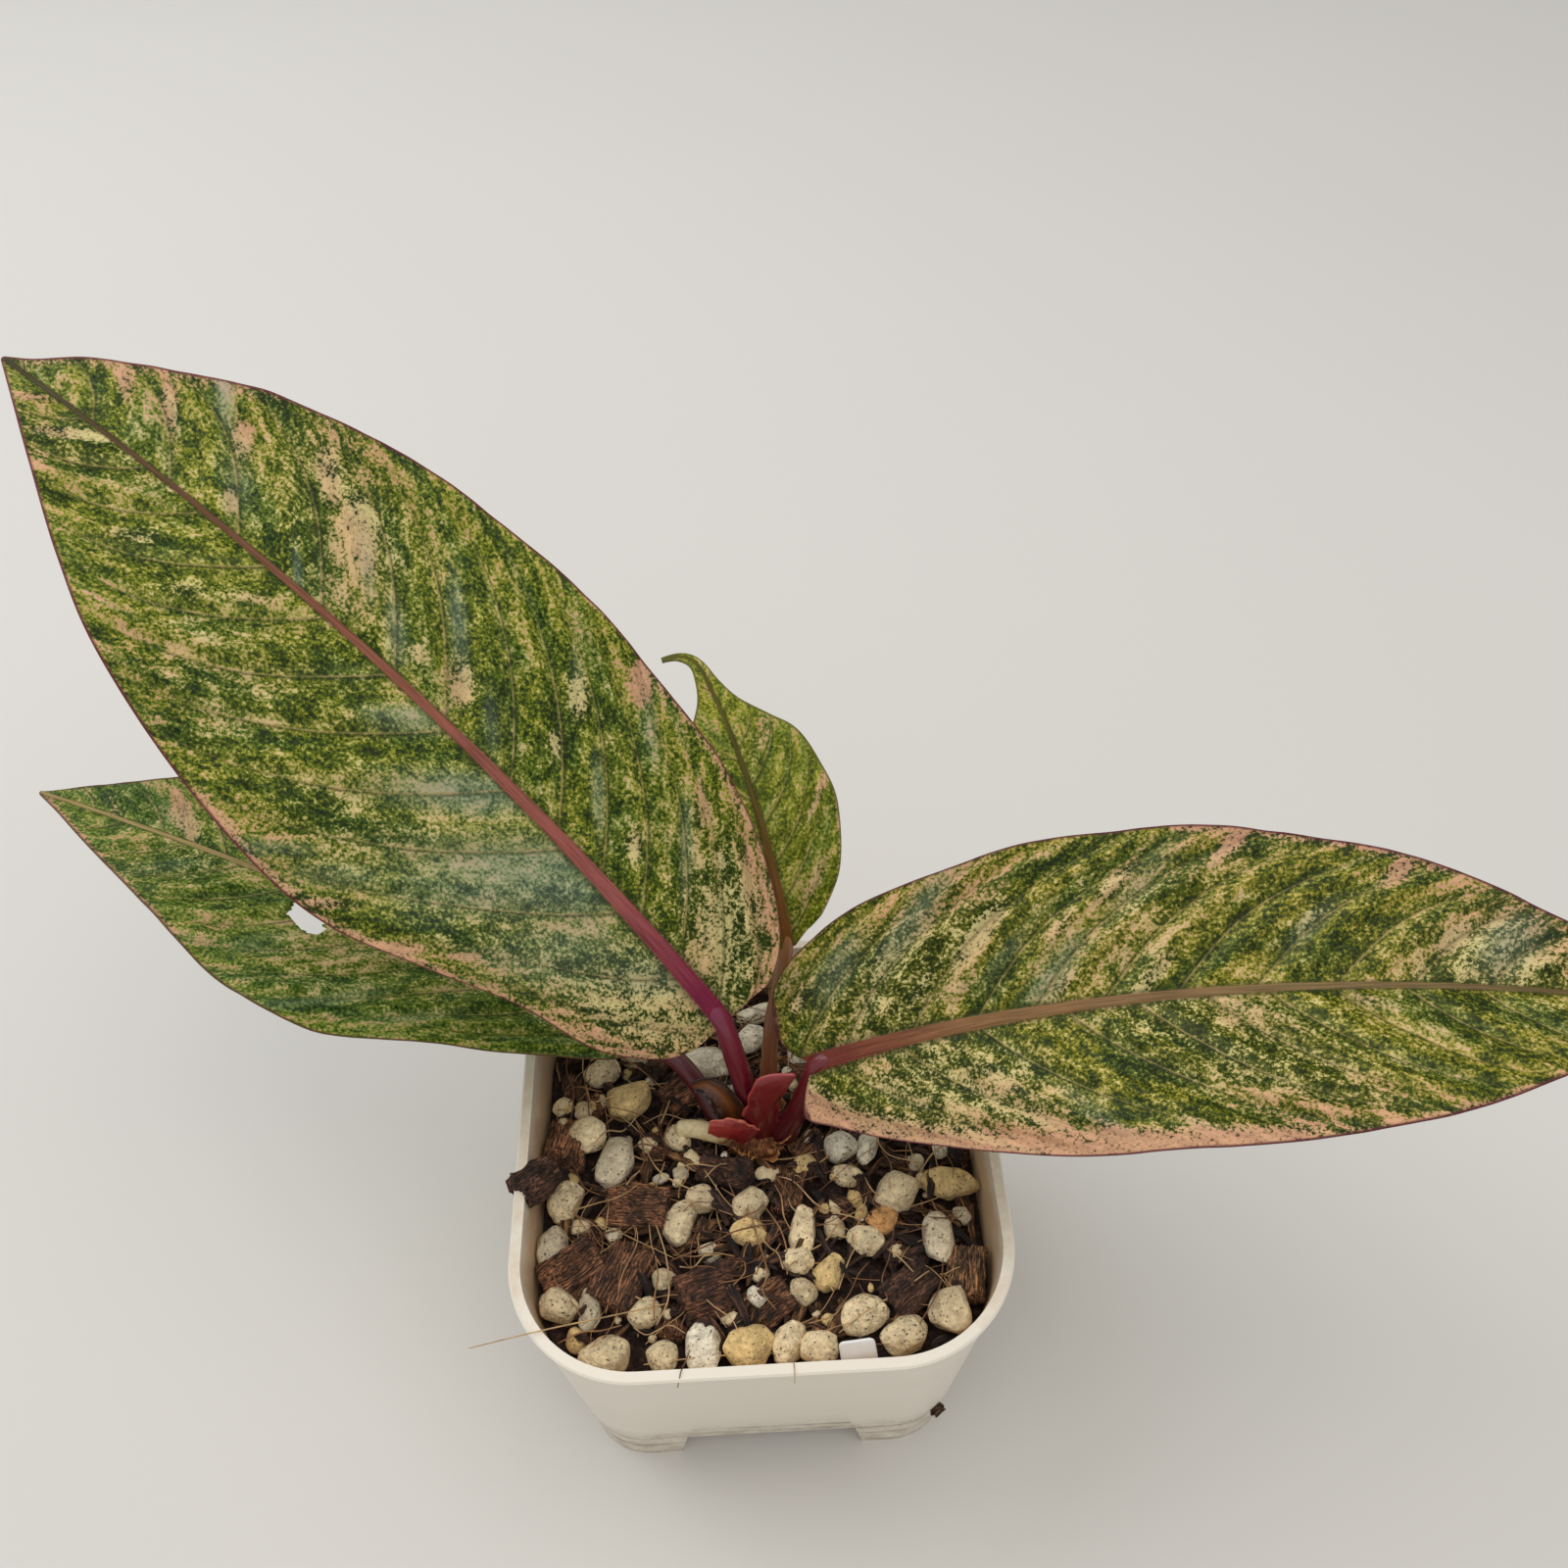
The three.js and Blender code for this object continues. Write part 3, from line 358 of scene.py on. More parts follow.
def direction(leaf, t):
    """The midrib's direction at a share t of its length."""
    t = np.asarray(t, float)
    around, up = leaf["heading"] + leaf["turn"] * t, leaf["climb"] - leaf["droop"] * t
    if "tip" in leaf:
        start, turn, drop = leaf["tip"]
        late = np.clip((t - start) / (1 - start), 0, 1)
        late = late * late * (3 - 2 * late)
        around, up = around + turn * late, up - drop * late
    around, up = np.radians(around), np.radians(up)
    return np.stack([np.cos(around) * np.cos(up), np.sin(around) * np.cos(up), np.sin(up)], -1)


def blade_point(leaf, x, y, lift):
    """Places on the blade's surface for flat places x, y, raised by lift."""
    length = leaf["length"]
    middle = direction(leaf, (np.arange(MIDRIB_STEPS) + 0.5) / MIDRIB_STEPS)
    midrib = np.vstack([[0, 0, 0], np.cumsum(middle * length / MIDRIB_STEPS, 0)]) + leaf["base"]
    t = np.clip(x / length, 0, 1)
    k = np.minimum((t * MIDRIB_STEPS).astype(int), MIDRIB_STEPS - 1)
    along = direction(leaf, t)
    origin = midrib[k] + (midrib[k + 1] - midrib[k]) * (t * MIDRIB_STEPS - k)[..., None]
    origin = origin + along * (x - t * length)[..., None]
    level = np.cross([0, 0, 1.0], along)
    level /= np.linalg.norm(level, axis=-1)[..., None]
    bank = np.radians(leaf["roll"][0] + (leaf["roll"][1] - leaf["roll"][0]) * t)[..., None]
    left = level * np.cos(bank) - np.cross(along, level) * np.sin(bank)
    up = np.cross(along, left)
    out = np.abs(y)
    fold = np.radians(np.where(y > 0, *leaf["fold"]))
    widest = max(p[1] for p in leaf["left"])
    phase = x / length * RIPPLE_RATE + np.where(y > 0, 0, RIPPLE_SHIFT)
    ripple = leaf["ripple"] * (out / widest) ** 2 * np.sin(phase)
    rise = out * np.sin(fold) - CAMBER * out * out + ripple + lift
    return origin + left * (y * np.cos(fold))[..., None] + up * rise[..., None]


def outline(points, count):
    """Evenly spaced points on the smooth outline through the given ones."""
    p = np.asarray(points, float)
    fine = []
    for k in range(len(p) - 1):
        before, after = p[max(k - 1, 0)], p[min(k + 2, len(p) - 1)]
        a, b = (p[k + 1] - before) / 2, (after - p[k]) / 2
        for t in np.linspace(0, 1, 30, endpoint=k == len(p) - 2):
            fine.append(p[k] * (2 * t ** 3 - 3 * t ** 2 + 1) + a * (t ** 3 - 2 * t ** 2 + t)
                        + p[k + 1] * (3 * t ** 2 - 2 * t ** 3) + b * (t ** 3 - t ** 2))
    fine = np.array(fine)
    run = np.concatenate([[0], np.cumsum(np.linalg.norm(np.diff(fine, axis=0), axis=1))])
    at = np.linspace(0, run[-1], count)
    return np.stack([np.interp(at, run, fine[:, i]) for i in (0, 1)], 1)


def rib_half(leaf, x):
    """Half the midrib's width along it."""
    near, far = leaf["rib"]
    return far + (near - far) * (1 - np.clip(x / leaf["length"], 0, 1)) ** RIB_TAPER


def margin_bands(bands, x, y, to_edge):
    """Strength, 0 to 1, of pale tissue in bands that follow the margin on the left (1) or right (-1)."""
    total = np.zeros_like(x)
    for side, start, end, near, far, strength in bands:
        wide = near + (far - near) * np.clip((x - start) / (end - start), 0, 1)
        ends = np.clip((x - start) / 6 + 1, 0, 1) * np.clip((end - x) / 8 + 1, 0, 1)
        total = np.maximum(total, strength * ends * np.exp(-(to_edge / wide) ** 3) * (np.sign(y) == side))
    return total


def blotches(spots, x, y):
    """Strength, 0 to 1, of soft elongated spots that lie along the lateral veins."""
    total = np.zeros_like(x)
    for sx, sy, length, width, strength in spots:
        side = 1 if sy > 0 else -1
        angle = math.radians(BLOTCH_SLANT) * side
        along = (x - sx) * math.cos(angle) + (y - sy) * math.sin(angle)
        across = (y - sy) * math.cos(angle) - (x - sx) * math.sin(angle)
        near = (along / (length / 2)) ** 2 + (across / (width / 2)) ** 2
        total = np.maximum(total, strength * np.exp(-(near / 1.3) ** 1.3) * (np.sign(y) == side))
    return total


def inside(polygon, x, y):
    """Whether each flat place is inside the polygon."""
    result = np.zeros(x.shape, bool)
    ring = list(polygon)
    for (x0, y0), (x1, y1) in zip(ring, ring[1:] + ring[:1]):
        crosses = (y0 > y) != (y1 > y)
        with np.errstate(divide="ignore", invalid="ignore"):
            edge = (x1 - x0) * (y - y0) / (y1 - y0) + x0
        result ^= crosses & (x < edge)
    return result


def snap(polygon, x, y, reach):
    """Moves the places that lie near the polygon's line onto it."""
    ring = np.array(list(polygon) + [polygon[0]])
    place = np.stack([x, y], -1)
    best, moved = np.full(x.shape, np.inf), place.copy()
    for a, b in zip(ring[:-1], ring[1:]):
        t = np.clip(((place - a) @ (b - a)) / ((b - a) @ (b - a)), 0, 1)
        near = a + t[..., None] * (b - a)
        gap = np.linalg.norm(place - near, axis=-1)
        better = gap < best
        best = np.where(better, gap, best)
        moved = np.where(better[..., None], near, moved)
    close = best < reach
    return np.where(close, moved[..., 0], x), np.where(close, moved[..., 1], y)


def flat_grid(leaf):
    """The blade's flat grid, in rows from base to tip and from the left margin to the right one: x, y, and
    each place's share of the way from the midrib to the margin."""
    rows = leaf["rows"]

    def soften(value):
        """Nearly flat over the lobes, then rising evenly."""
        return (value - LOBE_SHARE + np.hypot(value - LOBE_SHARE, LOBE_BLEND)) / 2

    first, last = soften(0.0), soften(1.0)
    on_midrib = -1 + (leaf["length"] + 1) * (soften(np.linspace(0, 1, rows + 1)) - first) / (last - first)
    half = rib_half(leaf, on_midrib)
    near_edge = 1 - (1 - np.linspace(0, 1, leaf["columns"] + 1)[1:]) ** 1.2
    middle = on_midrib[:, None]
    sides = []
    for side, sign in (("left", 1), ("right", -1)):
        end = outline(leaf[side], rows + 1)
        outer = np.minimum(1.3 * half / end[:, 1], 0.5)
        across = np.concatenate([np.outer(outer, np.linspace(0, 1, 9)[1:]),
                                 outer[:, None] + (1 - outer[:, None]) * near_edge[None]], 1)
        sides.append((middle + (end[:, :1] - middle) * across, sign * end[:, 1:] * across, across))
    x, y, share = (np.concatenate([left[:, ::-1], centre, right], 1)
                   for left, centre, right in zip(sides[0], (middle, 0 * middle, 0 * middle), sides[1]))
    if "hole" in leaf:
        x, y = snap(leaf["hole"], x, y, HOLE_REACH)
    return x, y, share


def vein_fields(leaf, x, y):
    """For each flat place: where its line along the veins meets the midrib, its distance to the nearest
    vein, more than 0 on the tip's side, its share of the way to the margin and the half width there."""
    width = np.where(y > 0, *[np.interp(x, *np.array(leaf[side]).T) for side in ("left", "right")])
    reach = np.clip(np.abs(y) / np.maximum(width, 2), 0, 1.1)
    bend = VEIN_BEND * reach ** 3 * np.minimum(width / BEND_WIDTH, 1)
    stem_line = x - np.where(y > 0, *leaf["sweep"]) * np.abs(y) - bend
    order, gap = np.zeros_like(x), np.zeros_like(x)
    for roots, here in zip(leaf["veins"], (y > 0, y <= 0)):
        # the pattern goes on past the first and the last vein
        roots = np.array([roots[0] - 40, roots[0] - 16] + list(roots) + [roots[-1] + 18, roots[-1] + 50])
        order = np.where(here, np.interp(stem_line, roots, np.arange(len(roots))), order)
        middles, gaps = (roots[1:] + roots[:-1]) / 2, np.diff(roots)
        gap = np.where(here, np.interp(stem_line, middles, gaps), gap)
    from_vein = (order - np.round(order)) * gap * VEIN_SLANT
    return stem_line, from_vein, reach, width


def relief(leaf, x, y, share, stem_line, from_vein, to_edge):
    """The blade's own ups and downs: quilted between the veins, softly uneven, and wavy at the margin."""
    points = np.stack([x, y, stem_line], -1).reshape(-1, 3)
    soft = wobble(points * (0, 0.55, 1), 7, 2, 3.1).reshape(x.shape)
    fine = wobble(points * (0, 0.7, 1), 2.6, 2, 8.3).reshape(x.shape)
    edge_wave = wobble(points * (1, 0, 0) + (0, 40, 0) * np.sign(points[:, 1:2]), 9, 2, 5.7).reshape(x.shape)
    calm = np.clip(to_edge / 5, 0, 1) * np.clip((np.abs(y) - 0.6 * rib_half(leaf, x)) / 4, 0, 1)
    quilt = (1 - np.exp(-(np.abs(from_vein) / CREASE_REACH) ** 2)) * (1 + 0.5 * np.sign(from_vein)) - 0.6
    return calm * (CREASE * quilt + 0.45 * soft + 0.12 * fine) + 0.5 * edge_wave * share ** 5


def blade_faces(leaf, x, y):
    """The faces that close the top grid, the underside's and their edges, round the hole if there is one,
    and each face's material: 0 for the top and the edges, 1 for the underside."""
    count = x.size
    index = np.arange(count).reshape(x.shape)
    corners = (index[:-1, :-1], index[:-1, 1:], index[1:, 1:], index[1:, :-1])
    kept = np.ones(corners[0].shape, bool)
    if "hole" in leaf:
        centres = [(v[:-1, :-1] + v[1:, 1:] + v[:-1, 1:] + v[1:, :-1]) / 4 for v in (x, y)]
        kept = ~inside(leaf["hole"], *centres)
    faces, indices, edges = [], [], {}
    for cell in zip(*(corner[kept] for corner in corners)):
        faces += [cell, tuple(i + count for i in cell[::-1])]
        indices += [0, 1]
        for p, q in zip(cell, cell[1:] + cell[:1]):
            if (q, p) in edges:
                del edges[q, p]
            else:
                edges[p, q] = True
    for p, q in edges:
        faces.append((q, p, p + count, q + count))
        indices.append(0)
    return faces, indices


def blade(name, leaf, materials):
    """A closed leaf blade with its midrib. Its materials read three values at each point: flat, the flat
    place and its line along the veins; vein, the distances to the vein and to the margin and the share of
    the way out; tone, how pale it is, how strong its painted sheen is and its place across the midrib."""
    x, y, share = flat_grid(leaf)
    stem_line, from_vein, reach, width = vein_fields(leaf, x, y)
    to_edge = (1 - share) * width
    height = relief(leaf, x, y, share, stem_line, from_vein, to_edge)
    out, ribs = np.abs(y), rib_half(leaf, x)
    rib_shape = np.clip(1 - (out / (RIB_SPREAD * ribs)) ** 2, 0, None) * np.clip((x + 0.5) / RIB_START, 0, 1)
    half_thick = (BLADE_THICKNESS + (EDGE_THICKNESS - BLADE_THICKNESS) * share ** 4) / 2
    top = blade_point(leaf, x, y, height + half_thick + RIB_RISE * ribs * rib_shape)
    under = blade_point(leaf, x, y, height - half_thick - RIB_DROP * ribs * rib_shape)
    pale = np.maximum(blotches(leaf["pale"], x, y), margin_bands(leaf["bands"], x, y, to_edge))
    painted_sheen = blotches(leaf["painted_sheen"], x, y)
    twice = [np.concatenate([v.ravel(), v.ravel()]) for v in
             (x, y, stem_line, from_vein, to_edge, reach, pale, painted_sheen, out / ribs)]
    values = {"flat": np.stack(twice[:3], 1), "vein": np.stack(twice[3:6], 1), "tone": np.stack(twice[6:], 1)}
    points = np.vstack([top.reshape(-1, 3), under.reshape(-1, 3)])
    faces, indices = blade_faces(leaf, x, y)
    return mesh_object(name, points, faces, materials, values, indices)


# leaf materials

# from the darkest grains to the palest
LEAF_GREENS = [(0.24, "#1c2705"), (0.36, "#313f0a"), (0.45, "#50600f"), (0.52, "#757e18"),
               (0.59, "#9e9b34"), (0.67, "#bdb562"), (0.8, "#d0c28c")]
GOLDEN_GREENS = [(0.24, "#1f2706"), (0.36, "#353f0b"), (0.45, "#565e12"), (0.52, "#7e7b1d"),
                 (0.59, "#a6993a"), (0.67, "#c2b267"), (0.8, "#d2be8c")]
DARK_GREENS = [(0.24, "#1e2f08"), (0.36, "#34480f"), (0.45, "#4f6616"), (0.53, "#6c8024"),
               (0.6, "#929a3c"), (0.7, "#aeae5c"), (0.82, "#c4b980")]
YOUNG_GREENS = [(0.24, "#353c06"), (0.36, "#4c560c"), (0.45, "#68720f"), (0.53, "#878c1e"),
                (0.6, "#a3a334"), (0.7, "#b8b250"), (0.82, "#c8bc70")]
LEAF_LOOKS = {
    # the green grains, the midrib from base to tip, the margin, and more (+) or fewer (-) light grains
    "a": (LEAF_GREENS, ("#7a2440", "#9a5650", "#8a5440", "#4a4024"), "#6a2a34", 0.0),
    "b": (DARK_GREENS, ("#7c4a34", "#94714c", "#a8915c", "#a08a54"), "#5e4026", 0.02),
    "c": (YOUNG_GREENS, ("#70481c", "#544a18", "#5c5c1c", "#8a9436"), "#67652a", 0.02),
    "d": (GOLDEN_GREENS, ("#74382c", "#86623f", "#7c6642", "#584c2a"), "#5c2630", -0.015),
}
# the lines along a lateral vein: how far from it, solid to, faded by, strength and colour
# the first three are painted shade and light of the quilting: a broad shade on one side, a paler band on the
# other and a dark crease shadow close beside the vein; the last is the vein's own tan line
VEIN_LINES_AND_SHADE = [(1.8, 0.2, 2.4, 0.16, "#28350f"), (-1.5, 0.1, 1.5, 0.1, "#a9ac78"),
              (0.5, 0.05, 0.6, 0.7, "#26300f"), (0.0, 0.08, 0.32, 0.7, "#ac9562")]


def leaf_fields(tree, x, y, line):
    """Noise fields in the blade's flat millimetres, drawn out along the veins: grains about 0.7 mm wide,
    clumps of 3 mm, sectors of 13 mm and patches of 10 mm for a painted bluish sheen."""
    between = add(tree, "ShaderNodeMix", {0: 0.42, 2: x, 3: line}).outputs[0]
    fields = []
    for along, share, seed, scale, detail, rough in (
            (x, 1.0, 0.0, 1.35, 5.0, 0.72), (between, 0.95, 7.0, 0.33, 5.0, 0.7),
            (line, 0.6, 15.0, 0.075, 2.0, 0.5), (line, 0.9, 31.0, 0.1, 3.0, 0.6)):
        squeezed = add(tree, "ShaderNodeMath", {0: y, 1: share}, operation="MULTIPLY").outputs[0]
        place = add(tree, "ShaderNodeCombineXYZ", {0: along, 1: squeezed, 2: seed}).outputs[0]
        fields.append(add(tree, "ShaderNodeTexNoise", {"Vector": place, "Scale": scale, "Detail": detail,
                                                       "Roughness": rough}).outputs[0])
    return fields


def pale_tissue(tree, colour, level, patch, to_edge, grains, clumps, sectors):
    """Tissue without chlorophyll: cream, pinker towards the margin and in some sectors, with green specks
    left in it."""
    paled = add(tree, "ShaderNodeMath", {0: patch, 1: 0.42, 2: level}, operation="MULTIPLY_ADD").outputs[0]
    paled = add(tree, "ShaderNodeMapRange", {0: paled, 1: 0.62, 2: 0.72, 3: 0.0, 4: 0.9}).outputs[0]
    specks = add(tree, "ShaderNodeMapRange", {0: grains, 1: 0.37, 2: 0.46, 3: 0.0, 4: 1.0}).outputs[0]
    paled = add(tree, "ShaderNodeMath", {0: paled, 1: specks}, operation="MULTIPLY").outputs[0]
    near = add(tree, "ShaderNodeMapRange", {0: to_edge, 1: 2.0, 2: 12.0, 3: 0.85, 4: 0.0}).outputs[0]
    pink = add(tree, "ShaderNodeMapRange", {0: sectors, 1: 0.42, 2: 0.6, 3: 0.0, 4: 0.6}).outputs[0]
    pink = add(tree, "ShaderNodeMath", {0: near, 1: pink}, operation="ADD", use_clamp=True).outputs[0]
    pale = add(tree, "ShaderNodeMix", {0: pink, 6: srgb("#d6c68a"), 7: srgb("#cf9c7c")},
               data_type="RGBA").outputs[2]
    shade = add(tree, "ShaderNodeMapRange", {0: clumps, 1: 0.36, 2: 0.64, 3: 0.78, 4: 1.14}).outputs[0]
    pale = add(tree, "ShaderNodeVectorMath", {0: pale, 1: shade}, operation="MULTIPLY").outputs[0]
    return add(tree, "ShaderNodeMix", {0: paled, 6: colour, 7: pale}, data_type="RGBA").outputs[2]


def vein_lines_and_shade(tree, colour, from_vein, reach, clumps):
    """Lateral veins: a thin tan line with a painted crease shadow beside it and broad painted shade and light
    on either side, broken and fading towards the margin.
    """
    fade = add(tree, "ShaderNodeMapRange", {0: reach, 1: 0.55, 2: 0.98, 3: 1.0, 4: 0.15}).outputs[0]
    broken = add(tree, "ShaderNodeMapRange", {0: clumps, 1: 0.36, 2: 0.58, 3: 0.2, 4: 1.0}).outputs[0]
    fade = add(tree, "ShaderNodeMath", {0: fade, 1: broken}, operation="MULTIPLY").outputs[0]
    for shift, core, skirt, strength, hue in VEIN_LINES_AND_SHADE:
        offset = add(tree, "ShaderNodeMath", {0: from_vein, 1: shift}, operation="ADD").outputs[0]
        offset = add(tree, "ShaderNodeMath", {0: offset}, operation="ABSOLUTE").outputs[0]
        mask = add(tree, "ShaderNodeMapRange", {0: offset, 1: core, 2: skirt, 3: strength, 4: 0.0}).outputs[0]
        mask = add(tree, "ShaderNodeMath", {0: mask, 1: fade}, operation="MULTIPLY").outputs[0]
        colour = add(tree, "ShaderNodeMix", {0: mask, 6: colour, 7: srgb(hue)}, data_type="RGBA").outputs[2]
    return colour


def midrib_and_margin(tree, colour, flat, x, from_rib, to_edge, rib_colours, margin):
    """The midrib, streaked lengthwise every 0.4 mm, a dark line along each side of it, and the red margin."""
    length = add(tree, "ShaderNodeMapRange", {0: x, 1: 0.0, 2: 190.0, 3: 0.0, 4: 1.0}).outputs[0]
    rib = add(tree, "ShaderNodeValToRGB", {0: length},
              stops=list(zip((0.04, 0.2, 0.55, 0.95), rib_colours))).outputs[0]
    drawn = add(tree, "ShaderNodeVectorMath", {0: flat, 1: (0.1, 2.6, 0.0)}, operation="MULTIPLY").outputs[0]
    streaks = add(tree, "ShaderNodeTexNoise", {"Vector": drawn, "Scale": 1.0, "Detail": 4.0}).outputs[0]
    shade = add(tree, "ShaderNodeMapRange", {0: streaks, 1: 0.3, 2: 0.7, 3: 0.6, 4: 1.35}).outputs[0]
    rib = add(tree, "ShaderNodeVectorMath", {0: rib, 1: shade}, operation="MULTIPLY").outputs[0]
    for place, start, end, strength, hue in (
            (from_rib, 1.15, 1.9, 0.6, srgb("#2e3414")), (from_rib, 0.85, 1.1, 1.0, rib),
            (to_edge, 0.2, 0.6, 0.9, srgb(margin))):
        mask = add(tree, "ShaderNodeMapRange", {0: place, 1: start, 2: end, 3: strength, 4: 0.0}).outputs[0]
        colour = add(tree, "ShaderNodeMix", {0: mask, 6: colour, 7: hue}, data_type="RGBA").outputs[2]
    return colour


def leaf_top(name, greens, rib_colours, margin, bias):
    """Living leaf with a waxy skin. Grains of green and yellow-green, half a millimetre to a millimetre
    wide, drawn out a little along the lateral veins. Where the tissue lacks chlorophyll, the pale grains
    run together into cream and pink patches. A soft bluish sheen is painted on, and the wax gives a satin
    gloss."""
    material, tree, shader = new_material(name, Roughness=0.4, IOR=1.45, Specular_IOR_Level=0.17)
    flat, vein, tone = (add(tree, "ShaderNodeAttribute", attribute_name=key).outputs["Vector"]
                        for key in ("flat", "vein", "tone"))
    x, y, line = add(tree, "ShaderNodeSeparateXYZ", {0: flat}).outputs
    from_vein, to_edge, reach = add(tree, "ShaderNodeSeparateXYZ", {0: vein}).outputs
    patch, painted_sheen, from_rib = add(tree, "ShaderNodeSeparateXYZ", {0: tone}).outputs

    grains, clumps, sectors, painted_sheen_field = leaf_fields(tree, x, y, line)
    level = bias - 0.885
    for field, weight in ((grains, 1.3), (clumps, 1.05), (sectors, 0.42)):
        level = add(tree, "ShaderNodeMath", {0: field, 1: weight, 2: level},
                    operation="MULTIPLY_ADD").outputs[0]
    colour = add(tree, "ShaderNodeValToRGB", {0: level}, stops=greens).outputs[0]
    # painted reflection: where the broad field is high, the greens are tinted bluish, as if glossed by the
    # sky
    deep = add(tree, "ShaderNodeMapRange", {0: painted_sheen_field, 1: 0.48, 2: 0.62, 3: 0.0, 4: 1.0}).outputs[0]
    teal = add(tree, "ShaderNodeVectorMath", {0: colour, 1: (0.66, 0.82, 1.25)},
               operation="MULTIPLY").outputs[0]
    colour = add(tree, "ShaderNodeMix", {0: deep, 6: colour, 7: teal}, data_type="RGBA").outputs[2]
    colour = pale_tissue(tree, colour, level, patch, to_edge, grains, clumps, sectors)

    # painted sheen: a soft bluish-grey painted reflection, broken up by the clumps and the grains
    patchy = add(tree, "ShaderNodeMapRange", {0: level, 1: 0.36, 2: 0.62, 3: 0.2, 4: 0.62}).outputs[0]
    amount = add(tree, "ShaderNodeMath", {0: painted_sheen, 1: patchy}, operation="MULTIPLY").outputs[0]
    colour = add(tree, "ShaderNodeMix", {0: amount, 6: colour, 7: srgb("#93a493")},
                 data_type="RGBA").outputs[2]
    colour = vein_lines_and_shade(tree, colour, from_vein, reach, clumps)
    colour = midrib_and_margin(tree, colour, flat, x, from_rib, to_edge, rib_colours, margin)
    tree.links.new(colour, shader.inputs["Base Color"])

    rough = add(tree, "ShaderNodeMapRange", {0: clumps, 1: 0.3, 2: 0.7, 3: 0.34, 4: 0.52}).outputs[0]
    tree.links.new(rough, shader.inputs["Roughness"])
    height = add(tree, "ShaderNodeMath", {0: grains, 1: 0.4, 2: clumps}, operation="MULTIPLY_ADD").outputs[0]
    bump = add(tree, "ShaderNodeBump", {"Strength": 0.6, "Distance": 0.0004, "Height": height})
    tree.links.new(bump.outputs[0], shader.inputs["Normal"])
    return material


def leaf_under(name, plain, rib):
    """The underside: no wax, so matt, paler and greyer than the top, clouded every 2 mm, with raised
    pink-brown veins."""
    material, tree, shader = new_material(name, Roughness=0.62, IOR=1.45)
    flat, vein, tone = (add(tree, "ShaderNodeAttribute", attribute_name=key).outputs["Vector"]
                        for key in ("flat", "vein", "tone"))
    from_vein = add(tree, "ShaderNodeSeparateXYZ", {0: vein}).outputs[0]
    patch, _, from_rib = add(tree, "ShaderNodeSeparateXYZ", {0: tone}).outputs
    grain = add(tree, "ShaderNodeTexNoise", {"Vector": flat, "Scale": 0.5, "Detail": 4.0,
                                             "Roughness": 0.65}).outputs[0]
    level = add(tree, "ShaderNodeMath", {0: patch, 1: 0.3, 2: grain}, operation="MULTIPLY_ADD").outputs[0]
    colour = add(tree, "ShaderNodeValToRGB", {0: level}, stops=plain).outputs[0]
    offset = add(tree, "ShaderNodeMath", {0: from_vein}, operation="ABSOLUTE").outputs[0]
    thin = add(tree, "ShaderNodeMapRange", {0: offset, 1: 0.15, 2: 0.5, 3: 0.7, 4: 0.0}).outputs[0]
    on_rib = add(tree, "ShaderNodeMapRange", {0: from_rib, 1: 0.9, 2: 1.1, 3: 1.0, 4: 0.0}).outputs[0]
    both = add(tree, "ShaderNodeMath", {0: thin, 1: on_rib}, operation="MAXIMUM").outputs[0]
    colour = add(tree, "ShaderNodeMix", {0: both, 6: colour, 7: srgb(rib)}, data_type="RGBA").outputs[2]
    tree.links.new(colour, shader.inputs["Base Color"])
    bump = add(tree, "ShaderNodeBump", {"Strength": 0.4, "Distance": 0.0002, "Height": grain})
    tree.links.new(bump.outputs[0], shader.inputs["Normal"])
    return material


def make_leaves():
    """The four blades, each with its own top and all with the same underside."""
    under = leaf_under("leaf_underside", [(0.3, "#5f7448"), (0.5, "#7e8f5c"), (0.75, "#b3a982")], "#9c6d62")
    for key, leaf in LEAVES.items():
        top = leaf_top(f"leaf_{key}_top", *LEAF_LOOKS[key])
        piece = blade(f"blade_{key}", leaf, [top, under])
        hand_over(piece, "leaf_young" if key == "c" else "leaf_variegated", f"leaf_{key}")


# stalks, crown and root

# the course of each stalk up to its blade, and its radius at the foot and the top
PETIOLES = {
    "a": ([(-0.8, 7, 62), (-1.8, 8.2, 73), (-4, 10.6, 85), (-6.6, 13.5, 96)], (2.9, 2.3)),
    "b": ([(-7.4, 8.9, 61), (-10.6, 12, 66), (-16.9, 17.6, 73.2), (-27.4, 23, 79.3)], (2.4, 2)),
    "c": ([(2.2, 12.4, 61.5), (3.2, 15.5, 71), (4.5, 21.5, 82), (8.5, 31.8, 96.5)], (2, 1.5)),
    "d": ([(5.6, 6, 61), (8.8, 5.6, 69), (11.5, 6.6, 77.5), (13.9, 8.2, 84.8)], (2.7, 2.2)),
}
STEM = dict(x=-0.2, y=7.2, radius=7.4, foot=37, top=65)
ROOTS = dict(count=6, reach=27, drop=22, radius=1.6)
ELBOW_SWELL = 0.07
STALK_RINGS, STALK_SIDES = 72, 26
AERIAL_ROOT = [(-5.6, 4.2, 61.6), (-9.6, 5, 63), (-14, 6, 63.6), (-18.6, 6.8, 62.6)]


